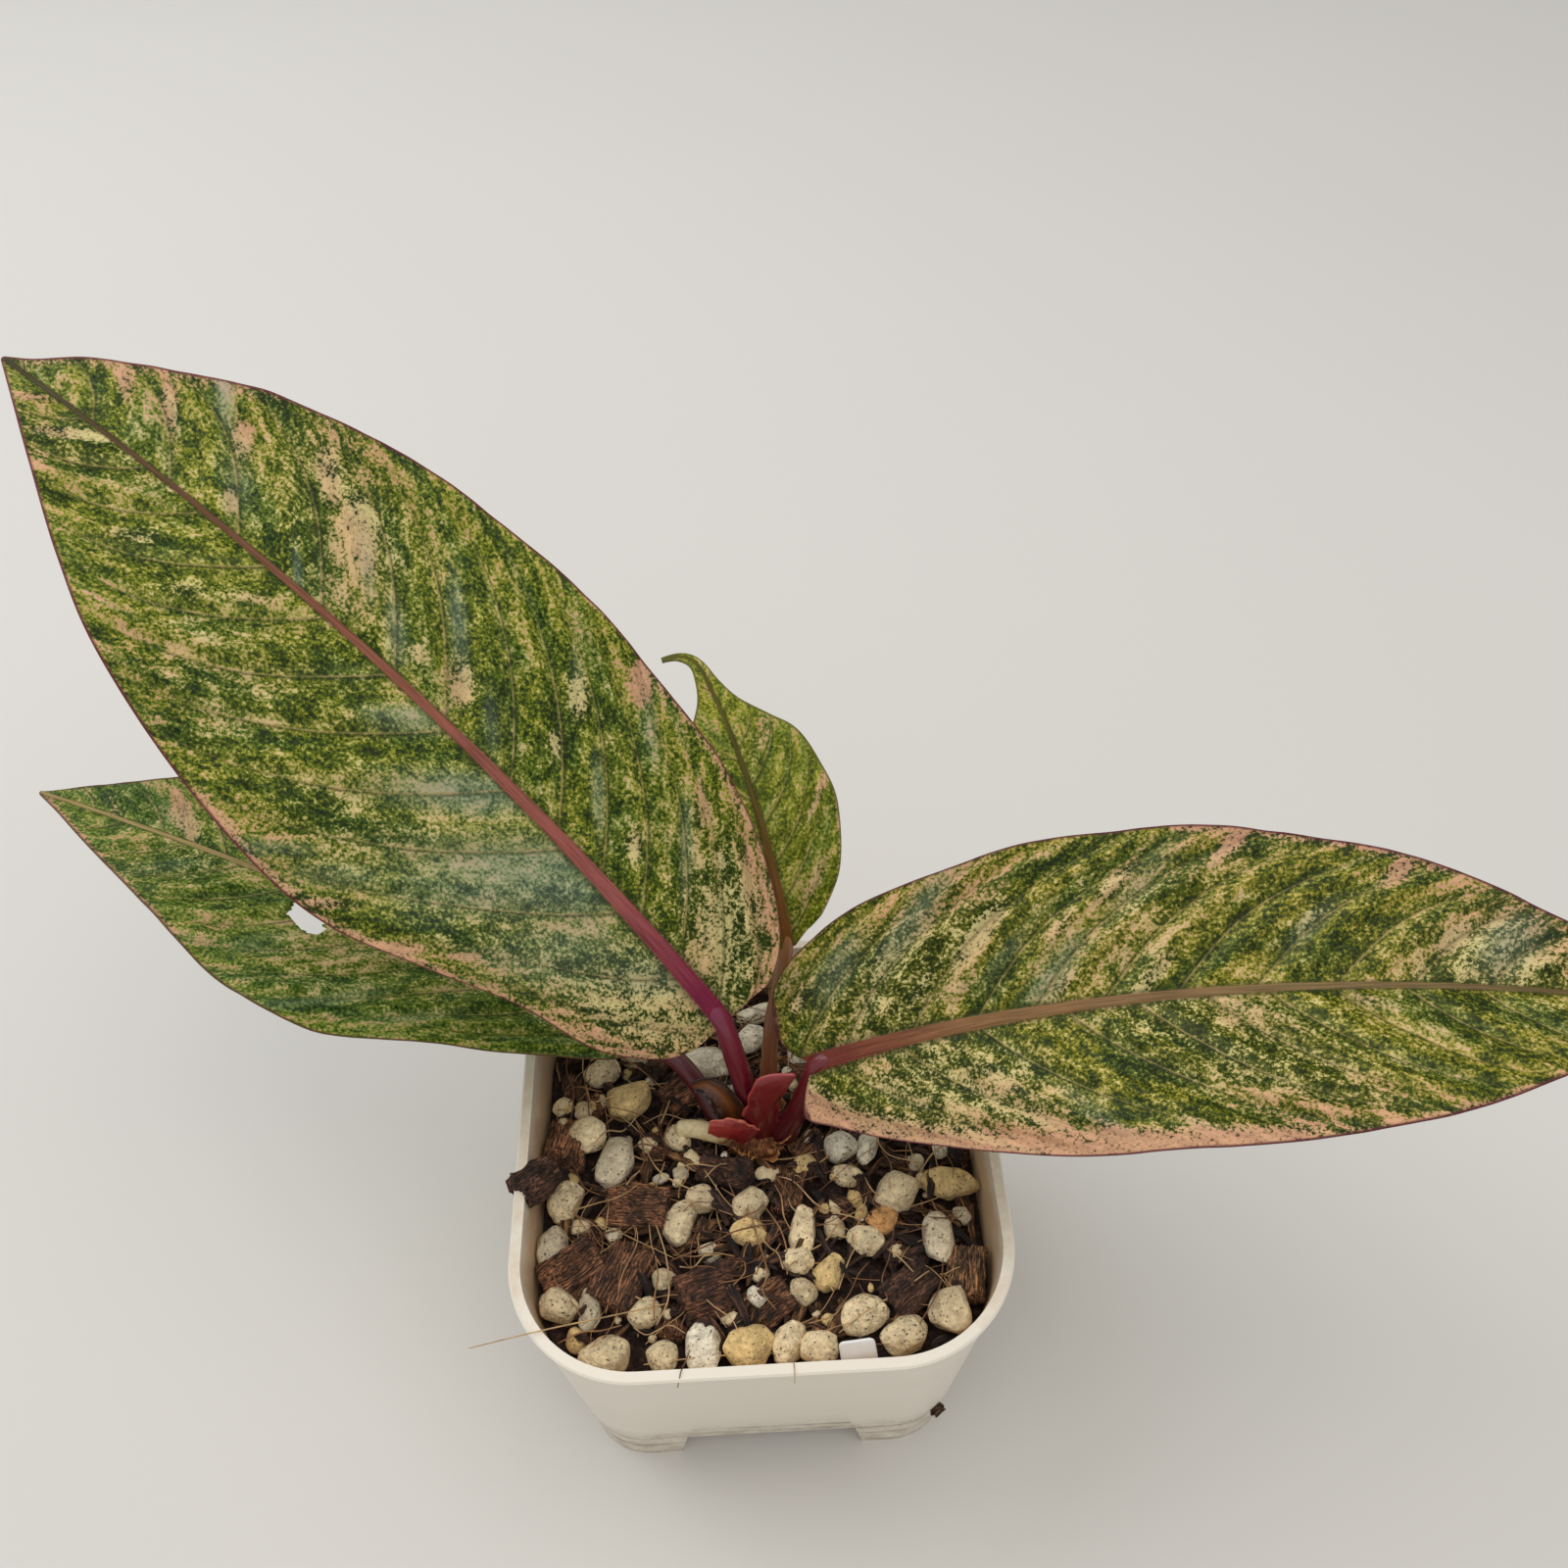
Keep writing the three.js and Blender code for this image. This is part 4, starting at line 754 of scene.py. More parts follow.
def stalk_material(name, low, middle, high, roughness=0.3, across=False, rim=None, flesh=0.08):
    """Smooth plant skin with a thin cuticle: glossy, with lengthwise streaks 0.2 to 0.4 mm wide, and a
    little light in its flesh. The colours run along it, or from its middle out to its edges if across."""
    material, tree, shader = new_material(name, Roughness=roughness, IOR=1.45, Coat_Weight=0.6,
                                          Coat_Roughness=0.1, Subsurface_Weight=flesh,
                                          Subsurface_Radius=(0.002, 0.0008, 0.0006))
    place = add(tree, "ShaderNodeAttribute", attribute_name="stalk").outputs["Vector"]
    along, aside, _ = add(tree, "ShaderNodeSeparateXYZ", {0: place}).outputs
    share = add(tree, "ShaderNodeMath", {0: aside if across else along}, operation="ABSOLUTE").outputs[0]
    ramp = add(tree, "ShaderNodeValToRGB", {0: share},
               stops=[(0.0, low), (0.45, middle), (1.0, high)]).outputs[0]
    drawn = add(tree, "ShaderNodeVectorMath", {0: place, 1: (3.0, 13.0, 13.0)},
                operation="MULTIPLY").outputs[0]
    streaks = add(tree, "ShaderNodeTexNoise", {"Vector": drawn, "Scale": 1.0, "Detail": 4.0}).outputs[0]
    shade = add(tree, "ShaderNodeMapRange", {0: streaks, 1: 0.3, 2: 0.7, 3: 0.74, 4: 1.2}).outputs[0]
    colour = add(tree, "ShaderNodeVectorMath", {0: ramp, 1: shade}, operation="MULTIPLY").outputs[0]
    # rim: a colour along a sheet's edges; on the two red scales it is a painted highlight
    if rim:
        side = add(tree, "ShaderNodeMath", {0: aside}, operation="ABSOLUTE").outputs[0]
        side = add(tree, "ShaderNodeMapRange", {0: side, 1: 0.86, 2: 1.0, 3: 0.0, 4: 0.8}).outputs[0]
        colour = add(tree, "ShaderNodeMix", {0: side, 6: colour, 7: srgb(rim)}, data_type="RGBA").outputs[2]
    tree.links.new(colour, shader.inputs["Base Color"])
    bump = add(tree, "ShaderNodeBump", {"Strength": 0.5, "Distance": 0.0003, "Height": streaks})
    tree.links.new(bump.outputs[0], shader.inputs["Normal"])
    return material


def stalk_values(count, sides, place):
    """For each point of a tube: its place along it, and the cosine and sine of its place around."""
    around = np.linspace(0, 2 * math.pi, sides, endpoint=False)
    rings = [np.stack([np.full(sides, t), np.cos(around), np.sin(around)], 1) for t in place[:count]]
    return np.vstack(rings + [[(place[0], 0, 0)], [(place[count - 1], 0, 0)]])


def make_petioles():
    """The four stalks, each up into the underside of its blade."""
    red = stalk_material("petiole_skin_red", "#4a0d18", "#6e1228", "#88264e", 0.2)
    dark = stalk_material("petiole_skin_dark", "#430d17", "#66141f", "#78262e", 0.24)
    brown = stalk_material("petiole_skin_brown", "#7a3a26", "#8a5a34", "#a06c38", 0.35)
    skins = {"a": red, "b": dark, "c": brown, "d": dark}
    for key, (points, (near, far)) in PETIOLES.items():
        # the stalk swells at its elbow and runs on under the midrib, where it sinks into the blade
        beyond = [blade_point(LEAVES[key], np.array([d]), np.array([0.0]), np.array([-sink]))[0]
                  for d, sink in ((0.0, 0.4), (5.0, 1.0), (15.0, 2.8))]
        centres, place = centripetal(points[:-1] + beyond, STALK_RINGS)
        elbow = np.argmin(np.linalg.norm(centres - beyond[0], axis=1))
        radii = near + (far - near) * np.clip(place * 1.3, 0, 1)
        radii = radii * (1 + 0.5 * np.exp(-(place / 0.12) ** 2))
        radii = radii * (1 + ELBOW_SWELL * np.exp(-((np.arange(STALK_RINGS) - elbow) / 5) ** 2))
        radii[-10:] *= np.linspace(1, 0.4, 10)
        skin, faces = tube(centres, radii, STALK_SIDES, 0.94)
        values = {"stalk": stalk_values(STALK_RINGS, STALK_SIDES, place)}
        piece = mesh_object(f"stalk_{key}", skin, faces, [skins[key]], values)
        hand_over(piece, "petiole_brown" if key == "c" else "petiole_red", f"petiole_{key}")


def bark_material():
    """Dead fibrous scales: matt, with pale fibres in bundles about 1 mm wide and 3 mm long."""
    material, tree, shader = new_material("stem_scales", Roughness=0.85, IOR=1.5)
    place = add(tree, "ShaderNodeTexCoord").outputs["Object"]
    drawn = add(tree, "ShaderNodeVectorMath", {0: place, 1: (1000.0, 1000.0, 340.0)},
                operation="MULTIPLY").outputs[0]
    fibres = add(tree, "ShaderNodeTexNoise", {"Vector": drawn, "Scale": 0.9, "Detail": 5.0,
                                              "Roughness": 0.7}).outputs[0]
    colour = add(tree, "ShaderNodeValToRGB", {0: fibres},
                 stops=[(0.32, "#3a1d10"), (0.5, "#7a4526"), (0.66, "#c08a50")]).outputs[0]
    tree.links.new(colour, shader.inputs["Base Color"])
    bump = add(tree, "ShaderNodeBump", {"Strength": 0.9, "Distance": 0.0006, "Height": fibres})
    tree.links.new(bump.outputs[0], shader.inputs["Normal"])
    return material


def make_stem(chance):
    """The short stem, its roots in the mix and the ring of dry scale fibres round its top."""
    x, y, radius = STEM["x"], STEM["y"], STEM["radius"]
    levels = np.linspace(STEM["foot"], STEM["top"], 34)
    radii = radius * np.interp(levels, [37, 45, 61, 65], [0.6, 1, 0.98, 0.55])
    skin, faces = tube(np.stack([np.full(34, x), np.full(34, y), levels], 1), radii, 60)
    push = wobble(skin * (1, 1, 0.4), 2.6, 3, 1.3)
    skin = skin + (skin - (x, y, 0)) * (1, 1, 0) / radius * push[:, None] * 0.9
    parts = [(skin, faces, {})]
    for k in range(ROOTS["count"]):
        angle = (k + 0.35) / ROOTS["count"] * 2 * math.pi
        reach = ROOTS["reach"] * (0.72 if k % 2 else 1)
        drop = ROOTS["drop"] * (1.2 if k % 2 else 1)
        path = [(x + s * reach * math.cos(angle), y + s * reach * math.sin(angle), STEM["foot"] + z)
                for s, z in ((0.1, 8), (0.45, 2), (0.85, -0.45 * drop), (1, -drop))]
        centres, place = centripetal(path, 24)
        parts.append((*tube(centres, ROOTS["radius"] * (1.2 - 0.5 * place), 8), {}))
    for k in range(150):
        angle = chance.uniform(0, 2 * math.pi)
        out = radius * chance.uniform(0.55, 1.05)
        start = Vector((x + out * math.cos(angle), y + out * math.sin(angle), chance.uniform(58.5, 63.5)))
        lean = Vector((math.cos(angle), math.sin(angle), 0)) * chance.uniform(0.2, 1.6)
        bend = Vector((chance.uniform(-1, 1), chance.uniform(-1, 1), chance.uniform(-0.4, 0.9)))
        path = [start, start + lean + Vector((0, 0, chance.uniform(0.2, 1.6))),
                start + lean * 2.2 + bend + Vector((0, 0, chance.uniform(-1.2, 1.8)))]
        centres, place = centripetal([tuple(p) for p in path], 8)
        parts.append((*tube(centres, 0.24 * (1.15 - place), 5), {}))
    assemble("stem", parts, bark_material(), "stem", "stem_and_roots")


def make_aerial_root():
    """Fresh aerial root: smooth, matt cream velamen with mottles of 1 mm, and a dark joint at the stem."""
    centres, place = centripetal(AERIAL_ROOT, 60)
    radii = 2.0 + 0.12 * np.sin(place * 4)
    radii[-7:] *= np.sqrt(np.linspace(1, 0.05, 7))
    skin, faces = tube(centres, radii, 28)
    material, tree, shader = new_material("velamen", Roughness=0.5, IOR=1.45, Subsurface_Weight=0.1,
                                          Subsurface_Radius=(0.002, 0.0014, 0.0008))
    place_along = add(tree, "ShaderNodeAttribute", attribute_name="stalk").outputs["Vector"]
    along = add(tree, "ShaderNodeSeparateXYZ", {0: place_along}).outputs[0]
    colour = add(tree, "ShaderNodeValToRGB", {0: along},
                 stops=[(0.0, "#5a3a22"), (0.14, "#b08e58"), (0.3, "#dcc796"), (0.85, "#e2d0a2"),
                        (1.0, "#cbb27a")]).outputs[0]
    place_in = add(tree, "ShaderNodeTexCoord").outputs["Object"]
    mottles = add(tree, "ShaderNodeTexNoise", {"Vector": place_in, "Scale": 900.0, "Detail": 4.0}).outputs[0]
    shade = add(tree, "ShaderNodeMapRange", {0: mottles, 1: 0.3, 2: 0.7, 3: 0.8, 4: 1.1}).outputs[0]
    colour = add(tree, "ShaderNodeVectorMath", {0: colour, 1: shade}, operation="MULTIPLY").outputs[0]
    tree.links.new(colour, shader.inputs["Base Color"])
    bump = add(tree, "ShaderNodeBump", {"Strength": 0.3, "Distance": 0.0003, "Height": mottles})
    tree.links.new(bump.outputs[0], shader.inputs["Normal"])
    piece = mesh_object("root_in_air", skin, faces, [material], {"stalk": stalk_values(60, 28, place)})
    hand_over(piece, "aerial_root", "aerial_root")


# bracts and the dead sheath

# points: the middle line. half and cup: the half width along it, and how far the sides curl back.
BRACTS = {
    "bract_front": dict(
        points=[(1.2, 2.6, 62), (1.1, 3.2, 69), (1.7, 4.2, 75.4), (3.6, 5, 80.6), (8.8, 5.6, 84.8)],
        half=[5.2, 4.1, 3.8, 3.9, 0.4], cup=[2.6, 1.5, 1, 0.5, 0.1], facing=(0.15, -1, 0.25)),
    "bract_left": dict(
        points=[(-1.6, 1.8, 65.6), (-4.6, 1.9, 68.6), (-7.6, 1.9, 70), (-10.6, 2, 70.6)],
        half=[3.4, 3.2, 3, 1.8], cup=[0.6, 0.6, 0.5, 0.2], facing=(-0.1, -1, 0.3)),
    "dry_sheath": dict(
        points=[(-4.2, 4.6, 64.6), (-5.6, 6.2, 71), (-7.8, 7.6, 76), (-10.8, 8.6, 78), (-13.6, 9, 77)],
        half=[2.6, 3.2, 3.4, 2.8, 1.4], cup=[-0.6, -1.6, -2.2, -1.8, -0.6], facing=(0.1, -1, 0.5)),
}


def sheet(shape, thick, ruffle, seed, rows=60, columns=28, fray=0.14):
    """A thin curved sheet along its middle line, cupped towards the stem, with an uneven edge: its points,
    faces and values."""
    centres, place = centripetal(shape["points"], rows + 1)
    tangents = np.gradient(centres, axis=0)
    tangents /= np.linalg.norm(tangents, axis=1)[:, None]
    across = np.cross(tangents, np.array(shape["facing"], float))
    across /= np.linalg.norm(across, axis=1)[:, None]
    normal = np.cross(across, tangents)
    knots = shape.get("at", np.linspace(0, 1, len(shape["half"])))
    half, cup = np.interp(place, knots, shape["half"]), np.interp(place, knots, shape["cup"])
    s = np.linspace(-1, 1, columns + 1)
    edge = wobble([(t * 9, 3 * np.sign(v), 0) for t in place for v in s], 1.0, 2, seed).reshape(rows + 1, -1)
    fold = wobble([(t * 5, v * 2.4, 9) for t in place for v in s], 1.0, 2, seed).reshape(rows + 1, -1)
    width = half[:, None] * s[None] * (1 + fray * edge)
    lift = -cup[:, None] * s[None] ** 2 + ruffle * fold * np.abs(s[None]) ** 2
    middle = centres[:, None] + across[:, None] * width[..., None] + normal[:, None] * lift[..., None]
    wall = (thick * (1 - 0.6 * np.abs(s) ** 4))[None, :, None] / 2 * normal[:, None]
    points = np.vstack([(middle + wall).reshape(-1, 3), (middle - wall).reshape(-1, 3)])
    count, wide = (rows + 1) * (columns + 1), columns + 1
    faces = []
    for i in range(rows):
        for j in range(columns):
            a = i * wide + j
            cell = (a, a + 1, a + wide + 1, a + wide)
            faces += [cell, tuple(k + count for k in cell[::-1])]
    ring = list(range(wide)) + [i * wide + columns for i in range(1, rows + 1)] \
        + [rows * wide + j for j in range(columns - 1, -1, -1)] + [i * wide for i in range(rows - 1, 0, -1)]
    for a, b in zip(ring, ring[1:] + ring[:1]):
        faces.append((b, a, a + count, b + count))
    t, v = np.meshgrid(place, s, indexing="ij")
    value = np.stack([t.ravel(), v.ravel(), np.zeros(t.size)], 1)
    return points, faces, {"stalk": np.vstack([value, value])}


def make_bracts():
    """The two red scales at the foot of the tallest stalk, and the curled dead sheath beside it."""
    # the rims of the red scale and its flap are painted highlights along their edges
    fresh = stalk_material("bract_skin", "#480910", "#690f18", "#861f24", 0.28, rim="#b8443c")
    flap = stalk_material("bract_flap_skin", "#651118", "#881c1e", "#a3362c", 0.34, rim="#cc6a4c")
    dry = stalk_material("sheath_membrane", "#7a4418", "#4e2810", "#1d0f08", 0.5, across=True, rim="#1a0d07",
                         flesh=0.0)
    for seed, (node, name, material, thick, ruffle) in enumerate((
            ("bract_front", "scale_front", fresh, 0.8, 0.6), ("bract_left", "scale_left", flap, 0.8, 0.6),
            ("dry_sheath", "dead_sheath", dry, 0.5, 1.4))):
        points, faces, values = sheet(BRACTS[node], thick, ruffle, seed + 2.5)
        piece = mesh_object(name, points, faces, [material], values)
        hand_over(piece, "dry_sheath" if node == "dry_sheath" else "bract", node)


def make_papery_scales(chance):
    """Torn papery leaf bases round the top of the stem."""
    parts = []
    for k in range(19):
        angle = k / 19 * 2 * math.pi + chance.uniform(-0.2, 0.2)
        out = Vector((math.cos(angle), math.sin(angle), 0))
        side = Vector((-out.y, out.x, 0)) * chance.uniform(-1.2, 1.2)
        foot = Vector((STEM["x"], STEM["y"], chance.uniform(58.6, 61))) + out * STEM["radius"] * 0.94
        rise = chance.uniform(1.8, 4.2)
        points = [foot, foot + out * 0.7 + Vector((0, 0, rise * 0.5)) + side * 0.3,
                  foot + out * chance.uniform(0.4, 2.6) + Vector((0, 0, rise)) + side]
        shape = dict(points=[tuple(p) for p in points], facing=tuple(out), cup=[0.9, 0.7, 0.2],
                     half=[chance.uniform(1.6, 2.6), chance.uniform(1.4, 2.2), chance.uniform(0.3, 0.9)])
        parts.append(sheet(shape, 0.3, 1.1, k * 1.9, 16, 12))
    membrane = stalk_material("papery_scales", "#4a2413", "#8a5428", "#b07a3e", 0.6, flesh=0.0)
    assemble("papery_scales", parts, membrane, "stem")


# pot

POT_HEIGHT = 70
FLOOR = 2
WALL = 1.5
RIM_HALF, RIM_CORNER = 52.5, 27
FOOT_HALF, FOOT_TOP_HALF, FOOT_HEIGHT, FOOT_CORNER = 42.4, 43.2, 15, 14.5
WALL_FOOT_HALF, WALL_FOOT_CORNER, WALL_TOP_HALF, WALL_TOP_CORNER = 43.7, 15, 51.6, 26
RECESS_WIDTH, RECESS_FOOT_WIDTH, RECESS_HEIGHT, RECESS_DEPTH = 32.6, 42.4, 27, 1.5
ARCH_HEIGHT, ARCH_DEPTH = 8.5, 11
SLOT_LENGTH, SLOT_WIDTH, DRAIN_RADIUS, DRAIN_RING = 14, 4, 3, 17
# heights and strengths of the soil lines round the foot
TIDE_MARKS = [(15.2, 1.5), (11.2, 1.3), (6.6, 1.4), (1.4, 1.2)]


def rounded(half, corner, z, steps):
    """A level ring of points: a square with rounded corners."""
    ring = []
    for quarter in range(4):
        middle = math.pi / 4 + quarter * math.pi / 2
        cx = math.copysign(half - corner, math.cos(middle))
        cy = math.copysign(half - corner, math.sin(middle))
        for k in range(steps + 1):
            angle = middle + (k / steps - 0.5) * math.pi / 2
            ring.append((cx + corner * math.cos(angle), cy + corner * math.sin(angle), z))
    return np.array(ring)


def ring_body(name, rings):
    """A closed body through rings of points, from the lowest to the highest."""
    count = len(rings[0])
    faces = [(low + k, low + (k + 1) % count, low + count + (k + 1) % count, low + count + k)
             for low in range(0, (len(rings) - 1) * count, count) for k in range(count)]
    faces.append(tuple(range(count - 1, -1, -1)))
    faces.append(tuple((len(rings) - 1) * count + k for k in range(count)))
    return mesh_object(name, np.vstack(rings), faces, [], smooth=False)


def wall_half(z):
    """Half the pot's width outside, at a height over its foot."""
    return WALL_FOOT_HALF + (WALL_TOP_HALF - WALL_FOOT_HALF) * (z - FOOT_HEIGHT) / (POT_HEIGHT - FOOT_HEIGHT)


def wall_corner(z):
    """The radius of the pot's corners outside, at a height over its foot."""
    grow = (WALL_TOP_CORNER - WALL_FOOT_CORNER) * (z - FOOT_HEIGHT) / (POT_HEIGHT - FOOT_HEIGHT)
    return WALL_FOOT_CORNER + grow


def half_inside(z):
    """Half the width between the pot's walls at a height."""
    in_foot = FOOT_HALF + z / FOOT_HEIGHT * (FOOT_TOP_HALF - FOOT_HALF)
    return np.where(z < FOOT_HEIGHT, in_foot, wall_half(z)) - WALL


def foot_block(height, depth, grow, turn, lean):
    """A block that opens one side of the foot: wider at the bottom, up to a height and in to a depth."""
    def half_at(z):
        """Half the block's width at a height."""
        return (RECESS_FOOT_WIDTH + (RECESS_WIDTH - RECESS_FOOT_WIDTH) * z / RECESS_HEIGHT) / 2 + grow
    low, high = -1, height + grow
    front, back = -30 - FOOT_HALF, -(FOOT_HALF - depth) + grow
    points = np.array([(sx * half_at(z), y, z) for z in (low, high) for y in (front, back) for sx in (-1, 1)])
    pivot = np.array((0, -FOOT_HALF, 0))
    turned = Matrix.Rotation(lean, 3, "X")
    points = (points - pivot) @ np.array(turned).T + pivot
    points = points @ np.array(Matrix.Rotation(math.radians(turn), 3, "Z")).T
    faces = [(0, 2, 3, 1), (4, 5, 7, 6), (0, 1, 5, 4), (2, 6, 7, 3), (0, 4, 6, 2), (1, 3, 7, 5)]
    return mesh_object("block", points, faces, [], smooth=False)


def openings(grow):
    """Blocks for the shallow recess and the arch on each side of the foot, larger all round by grow."""
    lean = math.atan((WALL_TOP_HALF - WALL_FOOT_HALF) / (POT_HEIGHT - FOOT_HEIGHT))
    return [foot_block(height, depth, grow, turn, tilt) for turn in (0, 90, 180, 270)
            for height, depth, tilt in ((RECESS_HEIGHT, RECESS_DEPTH, lean), (ARCH_HEIGHT, ARCH_DEPTH, 0))]


def drains():
    """The slots over the arches and the round holes in the floor, as tools to cut with."""
    middle = FOOT_HALF - ARCH_DEPTH / 2 - WALL
    straight = (SLOT_LENGTH - SLOT_WIDTH) / 2
    end = SLOT_WIDTH / 2
    slot = [(math.copysign(straight, math.cos(a)) + end * math.cos(a), end * math.sin(a))
            for a in (math.radians(15 * k + 7.5) for k in range(24))]
    hole = [(DRAIN_RADIUS * math.cos(a), DRAIN_RADIUS * math.sin(a))
            for a in (math.pi / 12 * k for k in range(24))]
    tools = []
    for turn in (0, 90, 180, 270):
        for ring, out, low, high, aside in ((slot, middle, ARCH_HEIGHT - WALL, ARCH_HEIGHT + 3 * WALL, 0),
                                            (hole, DRAIN_RING, -FLOOR, 2 * FLOOR, 45)):
            rings = [np.array([(x, y - out, z) for x, y in ring]) for z in (low, high)]
            turned = np.array(Matrix.Rotation(math.radians(turn + aside), 3, "Z")).T
            tools.append(ring_body("drain", [r @ turned for r in rings]))
    return tools


def cut_away(body, tools):
    """Cuts the tools out of the body and removes them."""
    for tool in tools:
        step = body.modifiers.new("cut", "BOOLEAN")
        step.operation, step.solver, step.object = "DIFFERENCE", "EXACT", tool
        settle(body)
        bpy.data.objects.remove(tool)
    return body


def settle(piece):
    """Applies the piece's modifiers."""
    graph = bpy.context.evaluated_depsgraph_get()
    mesh = bpy.data.meshes.new_from_object(piece.evaluated_get(graph))
    piece.modifiers.clear()
    piece.data = mesh


def plastic_material():
    """Injection-moulded polypropylene: warm white, slightly translucent, satin, with faint flow marks 8 mm
    high and 33 mm long, and soil dust in specks under 4 mm in the step at the foot."""
    material, tree, shader = new_material("polypropylene", Roughness=0.36, IOR=1.49, Subsurface_Weight=0.12,
                                          Subsurface_Radius=(0.004, 0.0034, 0.0026))
    place = add(tree, "ShaderNodeTexCoord").outputs["Object"]
    parts = add(tree, "ShaderNodeSeparateXYZ", {0: place})
    drawn = add(tree, "ShaderNodeVectorMath", {0: place, 1: (30.0, 30.0, 120.0)},
                operation="MULTIPLY").outputs[0]
    flow = add(tree, "ShaderNodeTexNoise", {"Vector": drawn, "Scale": 1.0, "Detail": 3.0}).outputs[0]
    colour = add(tree, "ShaderNodeMix", {0: flow, 6: srgb("#e8decd"), 7: srgb("#f0e8d9")},
                 data_type="RGBA").outputs[2]
    dust = add(tree, "ShaderNodeTexNoise", {"Vector": place, "Scale": 240.0, "Detail": 5.0,
                                            "Roughness": 0.7}).outputs[0]
    low = add(tree, "ShaderNodeMapRange", {0: parts.outputs[2], 1: 0.012, 2: 0.021, 3: 0.5,
                                           4: 0.0}).outputs[0]
    spots = add(tree, "ShaderNodeMapRange", {0: dust, 1: 0.36, 2: 0.66, 3: 0.1, 4: 1.0}).outputs[0]
    soil = add(tree, "ShaderNodeMath", {0: low, 1: spots}, operation="MULTIPLY").outputs[0]
    colour = add(tree, "ShaderNodeMix", {0: soil, 6: colour, 7: srgb("#8a7458")}, data_type="RGBA").outputs[2]
    # tide marks round the foot, where wet trays have left soil
    uneven = add(tree, "ShaderNodeTexNoise", {"Vector": place, "Scale": 45.0, "Detail": 3.0}).outputs[0]
    height = add(tree, "ShaderNodeMath", {0: uneven, 1: 0.005, 2: parts.outputs[2]},
                 operation="MULTIPLY_ADD").outputs[0]
    faded = add(tree, "ShaderNodeMapRange", {0: uneven, 1: 0.38, 2: 0.6, 3: 0.3, 4: 1.0}).outputs[0]
    for mark, strength in TIDE_MARKS:
        away = add(tree, "ShaderNodeMath", {0: height, 1: mark * MM + 0.0025},
                   operation="SUBTRACT").outputs[0]
        away = add(tree, "ShaderNodeMath", {0: away}, operation="ABSOLUTE").outputs[0]
        away = add(tree, "ShaderNodeMapRange", {0: away, 1: 0.00015, 2: 0.0008, 3: strength,
                                                4: 0.0}).outputs[0]
        away = add(tree, "ShaderNodeMath", {0: away, 1: dust}, operation="MULTIPLY").outputs[0]
        away = add(tree, "ShaderNodeMath", {0: away, 1: faded}, operation="MULTIPLY").outputs[0]
        colour = add(tree, "ShaderNodeMix", {0: away, 6: colour, 7: srgb("#7a6448")},
                     data_type="RGBA").outputs[2]
    tree.links.new(colour, shader.inputs["Base Color"])
    bump = add(tree, "ShaderNodeBump", {"Strength": 0.15, "Distance": 0.0002, "Height": dust})
    tree.links.new(bump.outputs[0], shader.inputs["Normal"])
    return material


def soiled_material(material):
    """The inside of the same wall, with a brown film where wet mix has touched it."""
    inside_wall = material.copy()
    inside_wall.name = "polypropylene_soiled"
    tree = inside_wall.node_tree
    shader = tree.nodes["Principled BSDF"]
    clean = shader.inputs["Base Color"].links[0].from_socket
    place = add(tree, "ShaderNodeTexCoord").outputs["Object"]
    height = add(tree, "ShaderNodeSeparateXYZ", {0: place}).outputs[2]
    cloud = add(tree, "ShaderNodeTexNoise", {"Vector": place, "Scale": 160.0, "Detail": 5.0,
                                             "Roughness": 0.7}).outputs[0]
    ragged = add(tree, "ShaderNodeMath", {0: cloud, 1: 0.012, 2: height}, operation="MULTIPLY_ADD").outputs[0]
    film = add(tree, "ShaderNodeMapRange", {0: ragged, 1: 0.07, 2: 0.0775, 3: 0.8, 4: 0.0}).outputs[0]
    colour = add(tree, "ShaderNodeMix", {0: film, 6: clean, 7: srgb("#c49c6a")}, data_type="RGBA").outputs[2]
    tree.links.new(colour, shader.inputs["Base Color"])
    return inside_wall


def make_pot(material):
    """The pot: one wall of even thickness with a small band at its rim, cut open at the foot for drainage."""
    steps = 22
    band = POT_HEIGHT - 1.6
    body = ring_body("pot_body", [
        rounded(FOOT_HALF, FOOT_CORNER, 0, steps), rounded(FOOT_TOP_HALF, FOOT_CORNER, FOOT_HEIGHT, steps),
        rounded(WALL_FOOT_HALF, WALL_FOOT_CORNER, FOOT_HEIGHT + 0.4, steps),
        rounded(wall_half(band), wall_corner(band), band, steps),
        rounded(RIM_HALF - 0.4, RIM_CORNER - 0.4, band + 0.4, steps),
        rounded(RIM_HALF, RIM_CORNER, POT_HEIGHT - 0.4, steps),
        rounded(RIM_HALF - 0.4, RIM_CORNER - 0.4, POT_HEIGHT, steps)])
    high = POT_HEIGHT + 5
    hollow = ring_body("hollow", [
        rounded(FOOT_HALF - WALL, FOOT_CORNER - WALL, FLOOR, steps),
        rounded(FOOT_TOP_HALF - WALL, FOOT_CORNER - WALL, FOOT_HEIGHT, steps),
        rounded(wall_half(high) - WALL, wall_corner(high) - WALL, high, steps)])
    cut_away(hollow, openings(WALL))
    cut_away(body, [hollow] + openings(0) + drains())
    body.data.materials.clear()
    body.data.materials.append(material)
    body.data.materials.append(soiled_material(material))
    for face in body.data.polygons:
        x, y, z = face.center / MM
        inward = face.normal.x * x + face.normal.y * y < 0 and max(abs(x), abs(y)) < half_inside(z) + 0.4
        face.material_index = int(z > FOOT_HEIGHT - 5 and inward)
    soft = body.modifiers.new("soft_edges", "BEVEL")
    soft.width, soft.segments, soft.limit_method, soft.angle_limit = 0.00045, 3, "ANGLE", math.radians(28)
    settle(body)
    body.data.polygons.foreach_set("use_smooth", [True] * len(body.data.polygons))
    body.data.set_sharp_from_angle(angle=math.radians(40))
    # the broad faces keep their own flat shading, and the narrow ones between them are shaded round
    weights = body.modifiers.new("weights", "WEIGHTED_NORMAL")
    weights.keep_sharp, weights.weight = True, 90
    settle(body)
    hand_over(body, "pot_plastic", "pot")


# potting mix

